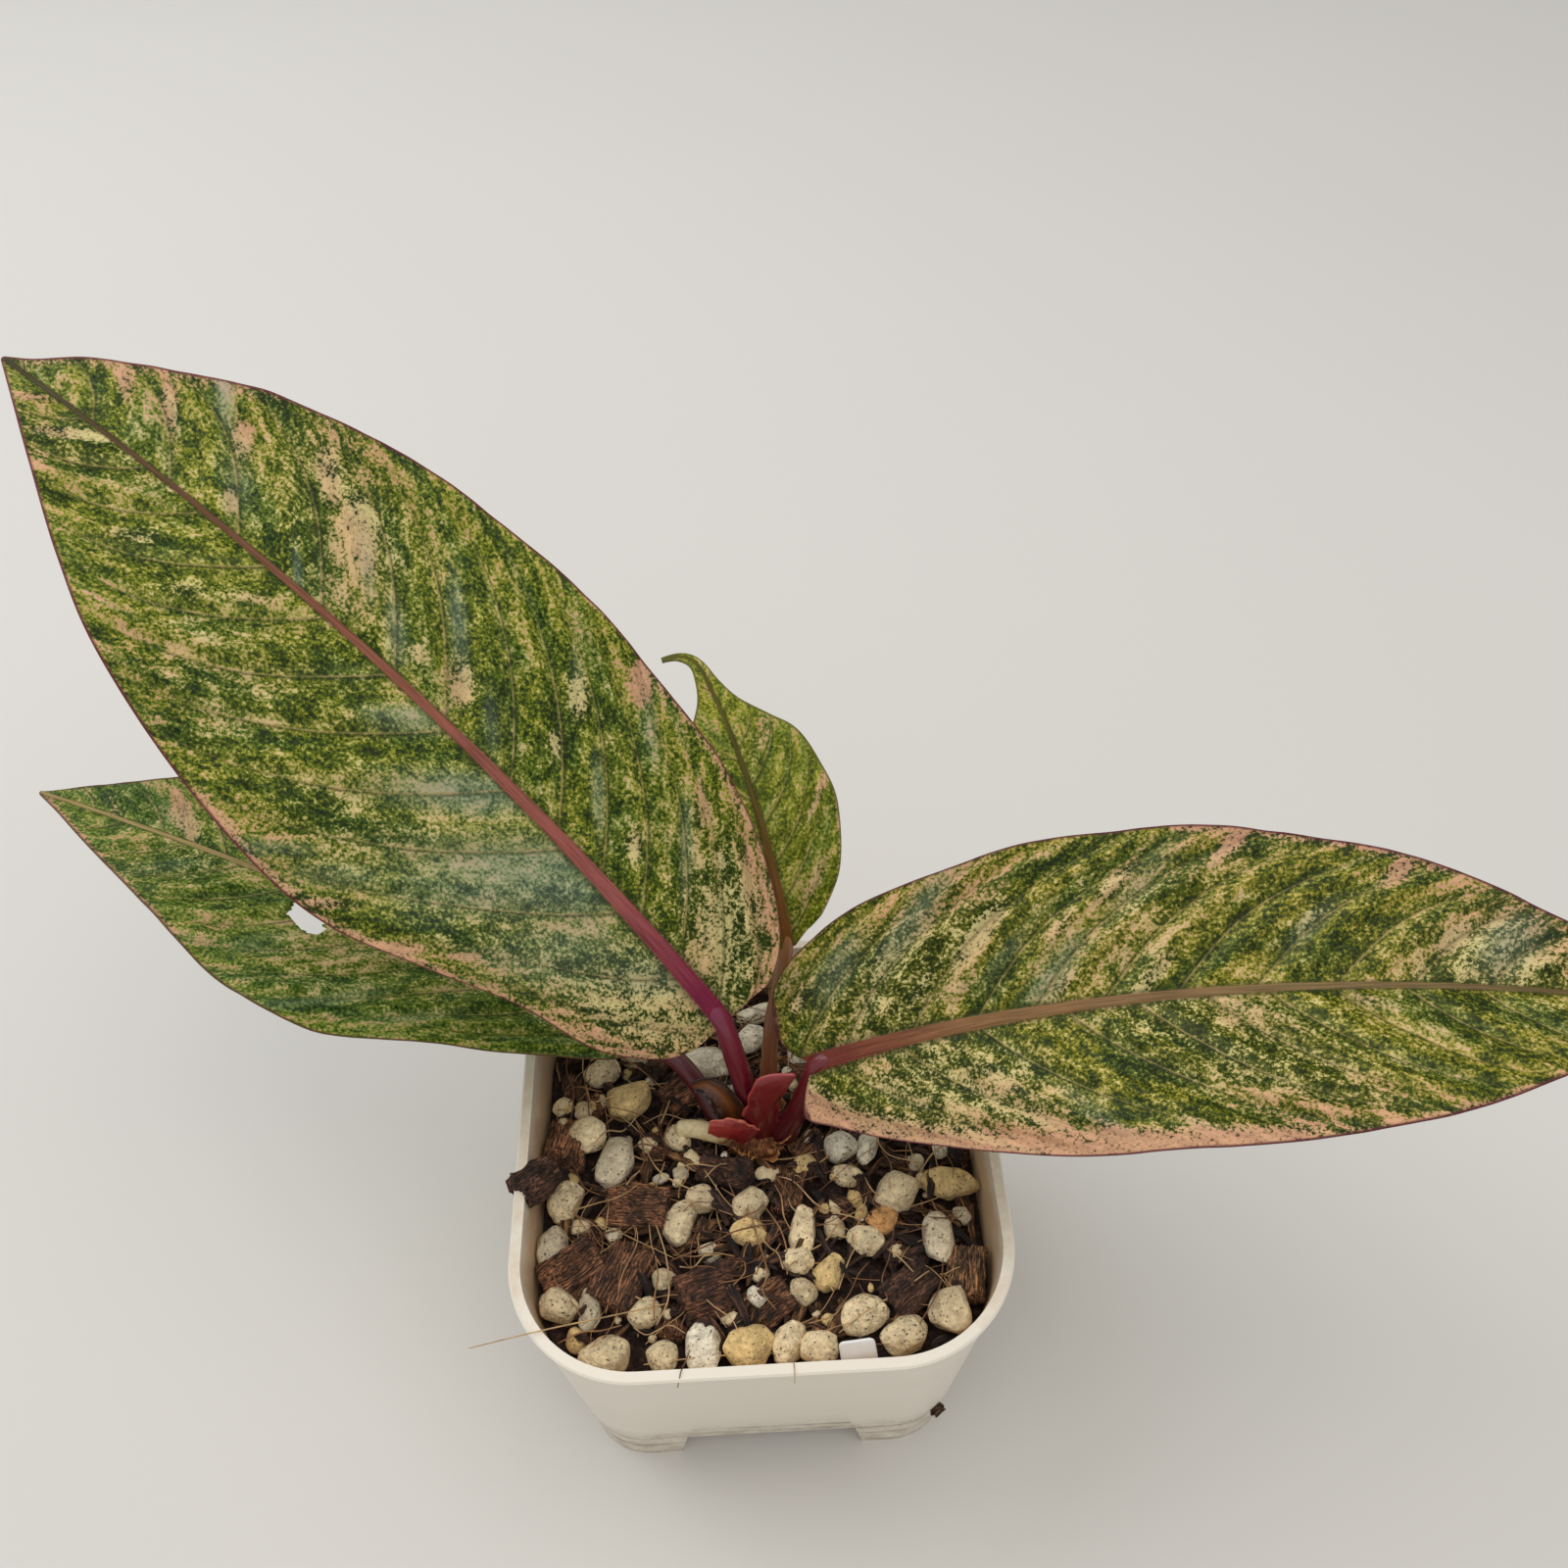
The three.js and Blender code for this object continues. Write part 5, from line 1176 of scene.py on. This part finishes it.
MIX_LEVEL = 59
MIX_CLEAR = 0.35
# the radius of the mix's corners at the pot's foot and at its rim
MIX_CORNER = (13, 24)
# limits on where loose bits lie: out to a side, out to a corner, and in to the stem
BIT_REACH, BIT_CORNER, BIT_FROM_STEM = 45.5, 55, 1.1
STRAND_REACH, STRAND_CORNER = 46.5, 57
CRUMB_LEVEL = 56.8
CRUMB_GRID = 78

# place, length, width, turn in degrees, tone
LARGE_STONES = [
    (-32, 0.5, 13, 9, 70, "grey"), (-33, -43, 10.5, 8, 5, "cream"), (-21, -43.5, 7, 6.5, 0, "cream"),
    (-13, -42.5, 10, 7, 100, "white"), (-3.5, -43, 10.5, 9, 0, "yellow"), (4.5, -42.5, 9, 6.5, 60, "cream"),
    (11, -43.5, 9, 7, 10, "cream"), (20, -37.5, 11, 7.5, 5, "cream"), (29, -42, 10.5, 7.5, 15, "cream"),
    (38.5, -37.5, 11, 9, 80, "cream"), (38, -22, 12, 8, 100, "grey"), (30, -10.5, 10, 9, 20, "cream"),
    (43, -9, 12, 7, -10, "yellow"), (26.5, -17, 7, 6, 0, "orange"), (9, -18, 10.5, 6.5, 85, "cream"),
    (7, -25, 7, 6.5, 0, "cream"), (-2.5, -18, 8.5, 6, -5, "yellow"), (-2.5, -11.5, 8, 7, 40, "cream"),
    (-13, -9.5, 7, 6, 0, "cream"), (-17.5, -15.5, 11, 7, 75, "cream"), (22, -21.5, 8, 6.5, -20, "cream"),
    (14, -28, 8, 6.5, 50, "yellow"), (-29.5, 16, 10.5, 9, 30, "yellow"), (-35.5, 24, 9, 7.5, 0, "cream"),
    (-38.5, 8, 9.5, 8.5, 90, "cream"), (-42.5, -8.5, 9, 7.5, 60, "cream"), (-45, -19, 9, 6.5, 85, "grey"),
    (-43, -32, 8, 7.5, 0, "cream"), (-36.5, -33, 8.5, 5.5, 90, "grey"), (-25, -34.5, 7, 6.5, 0, "cream"),
    # the four at the back, at (-1, 30.5), (-12, 24.5), (1.5, 38.5) and (11, 27), take the white tone as
    # painted light, as if in sun where the leaves shade them
    (18.5, 1, 8, 7.5, 0, "white"), (24.5, 1.5, 9, 5.5, 80, "white"), (-1, 30.5, 9, 7.5, 20, "white"),
    (-12, 24.5, 13, 8.5, -25, "white"), (1.5, 38.5, 10, 5, 15, "white"), (11, 27, 8, 6.5, 60, "white"),
]
LARGE_CHIPS = [
    (-43.2, 5.4, 12, 9, 82), (-27, -10.5, 14, 10, -10), (-41.5, -24.5, 13, 10, 30), (-30, -26.5, 14, 10, 65),
    (-7.5, -3.5, 12, 6, -25), (-12, -31, 12, 10, 20), (30.5, -32.5, 11, 9, 40), (43, -30, 11, 8, 80),
    (-17, 17, 9, 8, 35),
]
# loose fibres that lie over the front rim
LONG_FIBRES = [
    [(-20, -33.5, 62.5), (-30, -36.5, 65.5), (-45.5, -41.3, 70.7), (-58.5, -44.4, 72)],
    [(-15.5, -44, 63.5), (-16.3, -48.5, 68.5), (-16.9, -50.8, 70.4), (-17.6, -53.2, 68.9)],
    [(5, -46, 64.5), (5.2, -49.5, 69.6), (5.3, -51.9, 70.4), (5.2, -53.4, 68.2)],
]
STONE_TONES = {"cream": "#f3dcaf", "yellow": "#edcb8a", "grey": "#dfcfae", "white": "#fbefd3",
               "orange": "#dda263"}


def mix_corner(z):
    """The radius of the mix's corners at a height."""
    return MIX_CORNER[0] + z / POT_HEIGHT * (MIX_CORNER[1] - MIX_CORNER[0])


def towards_corner(x, y):
    """How far out a place is, with more for one that lies towards a corner."""
    return max(abs(x), abs(y)) + min(abs(x), abs(y)) * 0.35


def keep_inside(part, clear=0.3):
    """Moves a stone or chip in from the pot's wall until all of it lies inside."""
    shape = part[0]
    for _ in range(4):
        half = half_inside(shape[:, 2]) - clear
        corner = mix_corner(shape[:, 2])
        beyond = np.clip(np.abs(shape[:, :2]) - (half - corner)[:, None], 0, None)
        far = np.linalg.norm(beyond, axis=1)
        worst = np.argmax(far - corner)
        over = far[worst] - corner[worst]
        if over <= 0:
            break
        shape[:, :2] -= np.sign(shape[worst, :2]) * beyond[worst] / far[worst] * over
    return part


def ball(steps):
    """A round ball from a subdivided icosahedron, as points and faces."""
    shape = bmesh.new()
    bmesh.ops.create_icosphere(shape, subdivisions=steps, radius=1)
    points = np.array([v.co[:] for v in shape.verts])
    faces = [tuple(v.index for v in f.verts) for f in shape.faces]
    shape.free()
    return points, faces


def stone(unit, x, y, z, long, wide, turn, tone, chance):
    """A tumbled pumice pebble: a lumpy ball with worn flats and shallow pits."""
    points, faces = unit
    seed = chance.uniform(0, 90)
    lumps = wobble(points, 0.9, 2, seed)
    pits = np.clip(wobble(points, 0.2, 2, seed + 4) - 0.25, 0, 1)
    rough = wobble(points, 0.28, 2, seed + 8)
    shape = points * (1.06 + 0.17 * lumps + 0.03 * rough - 0.06 * pits)[:, None]
    for _ in range(8):
        flat = np.array([chance.gauss(0, 1) for _ in range(3)])
        flat /= np.linalg.norm(flat)
        beyond = np.clip(shape @ flat - chance.uniform(0.68, 0.92), 0, None)
        shape -= np.outer(beyond * 0.78, flat)
    shape *= (long / 2, wide / 2, wide * 0.43)
    turned = Matrix.Rotation(math.radians(turn), 3, "Z") @ Matrix.Rotation(chance.uniform(-0.3, 0.3), 3, "X")
    shape = shape @ np.array(turned).T + (x, y, z)
    colour = np.array(srgb(STONE_TONES[tone])[:3]) * chance.uniform(0.88, 1.18)
    grain = points * (long / 2, wide / 2, wide / 2)
    return shape, faces, {"tint": np.tile(colour, (len(points), 1)), "grain": grain}


def chip(x, y, z, long, wide, thick, turn, tilt, chance):
    """A cut block of coconut husk: square-ended along its fibres, with ridged faces and frayed ends."""
    cells = (22, 16, 8)
    points, faces, index = [], [], {}
    for i in range(cells[0] + 1):
        for j in range(cells[1] + 1):
            for k in range(cells[2] + 1):
                if i in (0, cells[0]) or j in (0, cells[1]) or k in (0, cells[2]):
                    index[i, j, k] = len(points)
                    points.append((i / cells[0] - 0.5, j / cells[1] - 0.5, k / cells[2] - 0.5))
    for axis in range(3):
        u, v = [a for a in range(3) if a != axis]
        for end in (0, cells[axis]):
            for p in range(cells[u]):
                for q in range(cells[v]):
                    corner = []
                    for du, dv in ((0, 0), (1, 0), (1, 1), (0, 1)):
                        spot = [0, 0, 0]
                        spot[axis], spot[u], spot[v] = end, p + du, q + dv
                        corner.append(index[tuple(spot)])
                    faces.append(tuple(corner[::-1] if (end == 0) != (axis == 1) else corner))
    unit = np.array(points)
    seed = chance.uniform(0, 90)
    round_off = 1 - 0.16 * (np.abs(unit[:, 1]) * 2) ** 4 * (np.abs(unit[:, 2]) * 2) ** 2
    local = unit * (long, wide, thick) * round_off[:, None]
    ridges = wobble(local * (0.12, 1.4, 1.4), 1.2, 3, seed)
    bulk = wobble(local, 5.0, 2, seed + 9)
    frayed = wobble(local * (0, 1.6, 1.6), 1.0, 2, seed + 5) * (np.abs(unit[:, 0]) > 0.4)
    local = local + unit * (0, 2, 2) * (0.75 * ridges + 0.8 * bulk)[:, None]
    local[:, 0] += frayed * 0.9
    local[:, 2] += 0.7 * bulk
    turned = (Matrix.Rotation(math.radians(turn), 3, "Z") @ Matrix.Rotation(tilt[0], 3, "Y")
              @ Matrix.Rotation(tilt[1], 3, "X"))
    shape = local @ np.array(turned).T + (x, y, z)
    tint = np.array(srgb(chance.choice(["#734a33", "#84583b", "#5c3d2b", "#8e6644"]))[:3])
    tint = tint * chance.uniform(0.85, 1.15)
    return shape, faces, {"tint": np.tile(tint, (len(unit), 1)), "grain": local + seed}


def pumice_material():
    """Pumice: matt volcanic glass foam, so its skin is chalky and dusty, with pores under 1 mm painted dark
    as the shade inside them.
    """
    material, tree, shader = new_material("pumice", Roughness=0.9, IOR=1.5)
    grain = add(tree, "ShaderNodeAttribute", attribute_name="grain").outputs["Vector"]
    tint = add(tree, "ShaderNodeAttribute", attribute_name="tint").outputs["Vector"]
    cloud = add(tree, "ShaderNodeTexNoise", {"Vector": grain, "Scale": 0.5, "Detail": 7.0,
                                             "Roughness": 0.65}).outputs[0]
    cells = add(tree, "ShaderNodeTexVoronoi", {"Vector": grain, "Scale": 1.3, "Randomness": 1.0}).outputs[0]
    dots = add(tree, "ShaderNodeTexNoise", {"Vector": grain, "Scale": 1.6, "Detail": 3.0}).outputs[0]
    rare = add(tree, "ShaderNodeMapRange", {0: dots, 1: 0.5, 2: 0.62, 3: 0.0, 4: 0.85}).outputs[0]
    pore = add(tree, "ShaderNodeMapRange", {0: cells, 1: 0.08, 2: 0.36, 3: 1.0, 4: 0.0}).outputs[0]
    pore = add(tree, "ShaderNodeMath", {0: pore, 1: rare}, operation="MULTIPLY").outputs[0]
    shade = add(tree, "ShaderNodeMapRange", {0: cloud, 1: 0.36, 2: 0.64, 3: 0.66, 4: 1.3}).outputs[0]
    colour = add(tree, "ShaderNodeVectorMath", {0: tint, 1: shade}, operation="MULTIPLY").outputs[0]
    film = add(tree, "ShaderNodeTexNoise", {"Vector": grain, "Scale": 0.22, "Detail": 4.0,
                                            "Roughness": 0.7}).outputs[0]
    film = add(tree, "ShaderNodeMapRange", {0: film, 1: 0.47, 2: 0.66, 3: 0.0, 4: 0.72}).outputs[0]
    colour = add(tree, "ShaderNodeMix", {0: film, 6: colour, 7: srgb("#83694a")}, data_type="RGBA").outputs[2]
    # the pores' dark colour is painted shade inside the pits
    colour = add(tree, "ShaderNodeMix", {0: pore, 6: colour, 7: srgb("#4c3f2d")}, data_type="RGBA").outputs[2]
    tree.links.new(colour, shader.inputs["Base Color"])
    height = add(tree, "ShaderNodeMath", {0: pore, 1: -1.0, 2: cloud}, operation="MULTIPLY_ADD").outputs[0]
    bump = add(tree, "ShaderNodeBump", {"Strength": 1.0, "Distance": 0.0014, "Height": height})
    tree.links.new(bump.outputs[0], shader.inputs["Normal"])
    return material


def husk_material():
    """Coconut husk: bundles of reddish-brown fibres, 0.2 to 0.4 mm thick, with pith between them."""
    material, tree, shader = new_material("coconut_husk", Roughness=0.88, IOR=1.5)
    grain = add(tree, "ShaderNodeAttribute", attribute_name="grain").outputs["Vector"]
    tint = add(tree, "ShaderNodeAttribute", attribute_name="tint").outputs["Vector"]
    drawn = add(tree, "ShaderNodeVectorMath", {0: grain, 1: (0.1, 1.0, 1.0)}, operation="MULTIPLY").outputs[0]
    fibres = add(tree, "ShaderNodeTexNoise", {"Vector": drawn, "Scale": 2.7, "Detail": 5.0,
                                              "Roughness": 0.7}).outputs[0]
    shade = add(tree, "ShaderNodeValToRGB", {0: fibres},
                stops=[(0.39, 0.06), (0.47, 0.5), (0.54, 1.15), (0.62, 3.0)]).outputs[0]
    colour = add(tree, "ShaderNodeVectorMath", {0: tint, 1: shade}, operation="MULTIPLY").outputs[0]
    pith = add(tree, "ShaderNodeTexNoise", {"Vector": grain, "Scale": 0.22, "Detail": 4.0,
                                            "Roughness": 0.6}).outputs[0]
    pith = add(tree, "ShaderNodeMapRange", {0: pith, 1: 0.4, 2: 0.58, 3: 0.34, 4: 1.25}).outputs[0]
    colour = add(tree, "ShaderNodeVectorMath", {0: colour, 1: pith}, operation="MULTIPLY").outputs[0]
    tree.links.new(colour, shader.inputs["Base Color"])
    bump = add(tree, "ShaderNodeBump", {"Strength": 1.0, "Distance": 0.0013, "Height": fibres})
    tree.links.new(bump.outputs[0], shader.inputs["Normal"])
    return material


def crumb_material():
    """Fine husk dust and crumbs of 0.5 to 1.5 mm that lie in the gaps: dark and matt."""
    material, tree, shader = new_material("husk_crumbs", Roughness=0.95)
    place = add(tree, "ShaderNodeTexCoord").outputs["Object"]
    bits = add(tree, "ShaderNodeTexNoise", {"Vector": place, "Scale": 700.0, "Detail": 6.0,
                                            "Roughness": 0.75}).outputs[0]
    colour = add(tree, "ShaderNodeValToRGB", {0: bits},
                 stops=[(0.35, "#150d09"), (0.52, "#38231a"), (0.7, "#6f5140")]).outputs[0]
    tree.links.new(colour, shader.inputs["Base Color"])
    bump = add(tree, "ShaderNodeBump", {"Strength": 1.0, "Distance": 0.0015, "Height": bits})
    tree.links.new(bump.outputs[0], shader.inputs["Normal"])
    return material


def fibre_material():
    """Loose coir: single tan fibres, slightly glossy, darker and lighter every 4 mm."""
    material, tree, shader = new_material("coir", Roughness=0.55, IOR=1.5)
    tint = add(tree, "ShaderNodeAttribute", attribute_name="tint").outputs["Vector"]
    place = add(tree, "ShaderNodeTexCoord").outputs["Object"]
    spots = add(tree, "ShaderNodeTexNoise", {"Vector": place, "Scale": 260.0, "Detail": 2.0}).outputs[0]
    shade = add(tree, "ShaderNodeMapRange", {0: spots, 1: 0.3, 2: 0.7, 3: 0.6, 4: 1.25}).outputs[0]
    colour = add(tree, "ShaderNodeVectorMath", {0: tint, 1: shade}, operation="MULTIPLY").outputs[0]
    tree.links.new(colour, shader.inputs["Base Color"])
    return material


def fill_in(chance, count, sizes, taken):
    """Free places on the mix among those taken, as (x, y, long, wide, turn)."""
    found = []
    for _ in range(6000):
        if len(found) == count:
            break
        long = chance.uniform(*sizes)
        x, y = chance.uniform(-BIT_REACH, BIT_REACH), chance.uniform(-BIT_REACH, BIT_REACH)
        from_stem = math.hypot(x - STEM["x"], y - STEM["y"])
        if towards_corner(x, y) > BIT_CORNER or from_stem < STEM["radius"] + BIT_FROM_STEM + long / 2:
            continue
        if all(math.hypot(x - t[0], y - t[1]) > 0.42 * (long + t[2]) for t in taken + found):
            found.append((x, y, long, long * chance.uniform(0.65, 0.95), chance.uniform(0, 180)))
    return found


def strand(chance, long, heights, bend, rise):
    """The course of a loose strand on top of the mix, or None where it would leave the pot."""
    x, y = chance.uniform(-46, 46), chance.uniform(-46, 45)
    turn = chance.uniform(0, math.pi)
    step = Vector((math.cos(turn), math.sin(turn), 0)) * long / 3
    start = Vector((x, y, MIX_LEVEL + chance.uniform(*heights)))
    path = []
    for k in range(4):
        aside = Vector((chance.uniform(-1, 1), chance.uniform(-1, 1), 0)) * long * bend
        path.append(start + step * (k - 1.5) + aside + Vector((0, 0, chance.uniform(-rise, rise))))
    for p in path:
        if towards_corner(p.x, p.y) > STRAND_CORNER or max(abs(p.x), abs(p.y)) > STRAND_REACH \
                or math.hypot(p.x - STEM["x"], p.y - STEM["y"]) < STEM["radius"]:
            return None
    return [tuple(p) for p in path]


def top_reach(gx, gy, half, corner):
    """How far a square grid's places are drawn in so that its outline has rounded corners."""
    edge = np.maximum(np.abs(gx), np.abs(gy)) + 1e-9
    ux, uy = np.abs(gx) / edge, np.abs(gy) / edge
    inner = half - corner
    low, high = np.minimum(ux, uy) * half, np.maximum(ux, uy) * half
    # distance along this ray to the rounded square
    a = (low ** 2 + high ** 2)
    b = inner * (low + high)
    c = 2 * inner ** 2 - corner ** 2
    root = (b + np.sqrt(np.maximum(b * b - a * c, 0))) / a
    return np.where(low > inner, np.minimum(1, root), 1)


def make_stones(small, grit, chance):
    """The large stones in their places, and gravel and grit between them."""
    pumice, plain, coarse = pumice_material(), ball(4), ball(3)
    parts = [keep_inside(stone(plain, x, y, MIX_LEVEL + wide * 0.22, long, wide, turn, tone, chance))
             for x, y, long, wide, turn, tone in LARGE_STONES]
    assemble("pumice_stones", parts, pumice, "potting_mix")
    parts = []
    for group, low, high in ((small, -1.2, 1.5), (grit, -0.4, 1.8)):
        for x, y, long, wide, turn in group:
            tone = chance.choice(["cream", "cream", "grey", "yellow", "white"])
            z = MIX_LEVEL + chance.uniform(low, high)
            parts.append(keep_inside(stone(coarse, x, y, z, long, wide, turn, tone, chance)))
    assemble("pumice_gravel", parts, pumice, "potting_mix")


def make_chips(slabs, husk, chance):
    """Husk chips: the large ones, a crumb stuck to a corner of the foot, one on the rim, and thin slabs."""
    parts = []
    for x, y, long, wide, turn in LARGE_CHIPS:
        tilt = (chance.uniform(-0.25, 0.25), chance.uniform(-0.3, 0.3))
        parts.append(keep_inside(chip(x, y, MIX_LEVEL + 1.4, long, wide, 5, turn, tilt, chance)))
    parts.append(chip(38.4, -40.6, 13, 3, 2, 1.6, 40, (0.3, 0.2), chance))
    parts.append(chip(-48.2, -7.6, 68.4, 9, 7.5, 5, 50, (0.4, -0.3), chance))
    for x, y, long, wide, turn in slabs:
        tilt = (chance.uniform(-0.7, 0.7), chance.uniform(-0.6, 0.6))
        wide *= chance.uniform(0.45, 1)
        parts.append(keep_inside(chip(x, y, MIX_LEVEL - 0.6, long, wide, 3.2, turn, tilt, chance)))
    assemble("coconut_chips", parts, husk, "potting_mix")


def make_shreds(husk, chance):
    """Flat torn strips of husk, thinner at both ends."""
    rings, sides = 14, 9
    parts = []
    for _ in range(420):
        path = strand(chance, chance.uniform(5, 15), (-0.8, 2.2), 0.04, 1.6)
        if path:
            centres, place = centripetal(path, rings)
            wide = chance.uniform(0.45, 1.25)
            taper = 1 - 0.5 * np.abs(place * 2 - 1) ** 3
            radii = wide * taper * (1 + 0.12 * np.sin(place * 14 + wide * 40))
            skin, faces = tube(centres, radii, sides, chance.uniform(0.2, 0.5))
            skin = skin + 0.22 * wobble(skin, 0.9, 2, 3.0)[:, None]
            tint = np.array(srgb(chance.choice(["#4a3021", "#5c3d29", "#3a261b", "#74502f"]))[:3])
            along = np.concatenate([np.repeat(place, sides) * 9, [0, 9]])
            around = np.concatenate([np.tile(np.arange(sides) * 0.5, rings), [0, 0]])
            grain = np.stack([along, around, np.full(len(along), wide * 50)], 1)
            parts.append((skin, faces, {"tint": np.tile(tint, (len(skin), 1)), "grain": grain}))
    assemble("husk_shreds", parts, husk, "potting_mix")


def make_fibres(chance):
    """Single coir fibres over everything, and the few that lie over the front rim."""
    parts = []
    paths = [strand(chance, chance.choice([5, 8, 12, 16, 24]), (1, 4.4), 0.09, 1.4) for _ in range(430)]
    for path in [p for p in paths if p] + LONG_FIBRES:
        centres, place = centripetal(path, 22)
        thick = chance.uniform(0.08, 0.19)
        skin, faces = tube(centres, thick * (1.1 - 0.6 * np.abs(place - 0.4)), 5)
        tint = np.array(srgb(chance.choice(["#ab8558", "#93693f", "#bf9c6c", "#754c30"]))[:3])
        parts.append((skin, faces, {"tint": np.tile(tint, (len(skin), 1))}))
    assemble("coir_fibres", parts, fibre_material(), "potting_mix")


def make_fill():
    """The fill under the loose bits: a closed block, cut out over the foot's arches, with a crumbly top."""
    rings = [rounded(half_inside(z) - MIX_CLEAR, mix_corner(z), z, 12)
             for z in (FLOOR + MIX_CLEAR, FOOT_HEIGHT, CRUMB_LEVEL - 3, CRUMB_LEVEL)]
    block = cut_away(ring_body("block", rings[:3]), openings(WALL + MIX_CLEAR))
    points = np.array([v.co[:] for v in block.data.vertices]) / MM
    parts = [(points, [tuple(f.vertices) for f in block.data.polygons], {})]
    bpy.data.objects.remove(block)
    count = len(rings[0])
    skirt = [(k, (k + 1) % count, (k + 1) % count + count, k + count) for k in range(count)]
    parts.append((np.vstack(rings[2:]), skirt, {}))
    half, line = half_inside(CRUMB_LEVEL) - MIX_CLEAR, np.linspace(-1, 1, CRUMB_GRID + 1)
    gx, gy = np.meshgrid(line, line, indexing="ij")
    pull = top_reach(gx, gy, half, mix_corner(CRUMB_LEVEL))
    flat = np.stack([(gx * half * pull).ravel(), (gy * half * pull).ravel(), np.zeros(gx.size)], 1)
    rim = np.maximum(np.abs(line)[:, None], np.abs(line)[None]).ravel()
    lift = (1.9 * wobble(flat, 4.0, 3, 2.2) + 0.9 * wobble(flat, 1.3, 2, 6.1)) * np.clip((1 - rim) * 8, 0, 1)
    flat[:, 2] = CRUMB_LEVEL + lift
    wide = CRUMB_GRID + 1
    cells = [(i * wide + j, (i + 1) * wide + j, (i + 1) * wide + j + 1, i * wide + j + 1)
             for i in range(CRUMB_GRID) for j in range(CRUMB_GRID)]
    parts.append((flat, cells, {}))
    assemble("mix_fill", parts, crumb_material(), "potting_mix", "potting_mix")


def make_mix(chance):
    """The potting mix, from the large stones down to the crumbs under them."""
    fixed = LARGE_STONES + LARGE_CHIPS
    small = fill_in(chance, 80, (3.6, 7.6), fixed)
    slabs = fill_in(chance, 44, (6, 12), fixed)
    grit = fill_in(chance, 80, (1.6, 3.4), LARGE_STONES)
    husk = husk_material()
    make_stones(small, grit, chance)
    make_chips(slabs, husk, chance)
    make_shreds(husk, chance)
    make_fibres(chance)
    make_fill()


# tag

LABEL_WIDTH, LABEL_THICKNESS = 7.4, 0.6
LABEL_COURSE = [(19, -38.6, 20.7), (19, -42.8, 42), (18.8, -46.8, 58.5), (18.6, -47.2, 62.6), (18, -45, 66.5)]


def make_label():
    """A blank plant tag of thin white polystyrene sheet, faintly scuffed every 2 mm, cut with rounded top
    corners, its top leaning back."""
    wide = LABEL_WIDTH / 2
    shape = dict(points=LABEL_COURSE, facing=(0, -1, 0.2), at=[0, 0.17, 0.978, 0.988, 0.996, 1],
                 half=[0.8, wide, wide, wide - 0.12, wide - 0.4, wide - 0.9], cup=[0.15] * 6)
    points, faces, values = sheet(shape, LABEL_THICKNESS, 0, 1, 160, 12, fray=0)
    material, tree, shader = new_material("polystyrene_tag", Roughness=0.42, IOR=1.55)
    place = add(tree, "ShaderNodeTexCoord").outputs["Object"]
    scuffs = add(tree, "ShaderNodeTexNoise", {"Vector": place, "Scale": 500.0, "Detail": 4.0}).outputs[0]
    colour = add(tree, "ShaderNodeMix", {0: scuffs, 6: srgb("#e9e9e6"), 7: srgb("#fbfbfa")},
                 data_type="RGBA").outputs[2]
    tree.links.new(colour, shader.inputs["Base Color"])
    piece = mesh_object("tag", points, faces, [material], values)
    hand_over(piece, "label_plastic", "plant_label")


# floor

def make_floor():
    """A plain pale sheet of matt paper, clouded so faintly and widely that it looks even."""
    material, tree, shader = new_material("matt_paper", Roughness=0.9)
    place = add(tree, "ShaderNodeTexCoord").outputs["Object"]
    cloud = add(tree, "ShaderNodeTexNoise", {"Vector": place, "Scale": 3.0, "Detail": 2.0}).outputs[0]
    colour = add(tree, "ShaderNodeMix", {0: cloud, 6: srgb("#d6d3cd"), 7: srgb("#dad7d1")},
                 data_type="RGBA").outputs[2]
    tree.links.new(colour, shader.inputs["Base Color"])
    size = 6000
    floor = mesh_object("floor", [(-size, -size, 0), (size, -size, 0), (size, size, 0), (-size, size, 0)],
                        [(0, 1, 2, 3)], [material], smooth=False)


# the plant in its pot

place_camera()
light_studio()
make_floor()
chance = random.Random(5)
make_leaves()
make_petioles()
make_stem(chance)
make_papery_scales(chance)
make_aerial_root()
make_bracts()
make_mix(chance)
make_pot(plastic_material())
make_label()
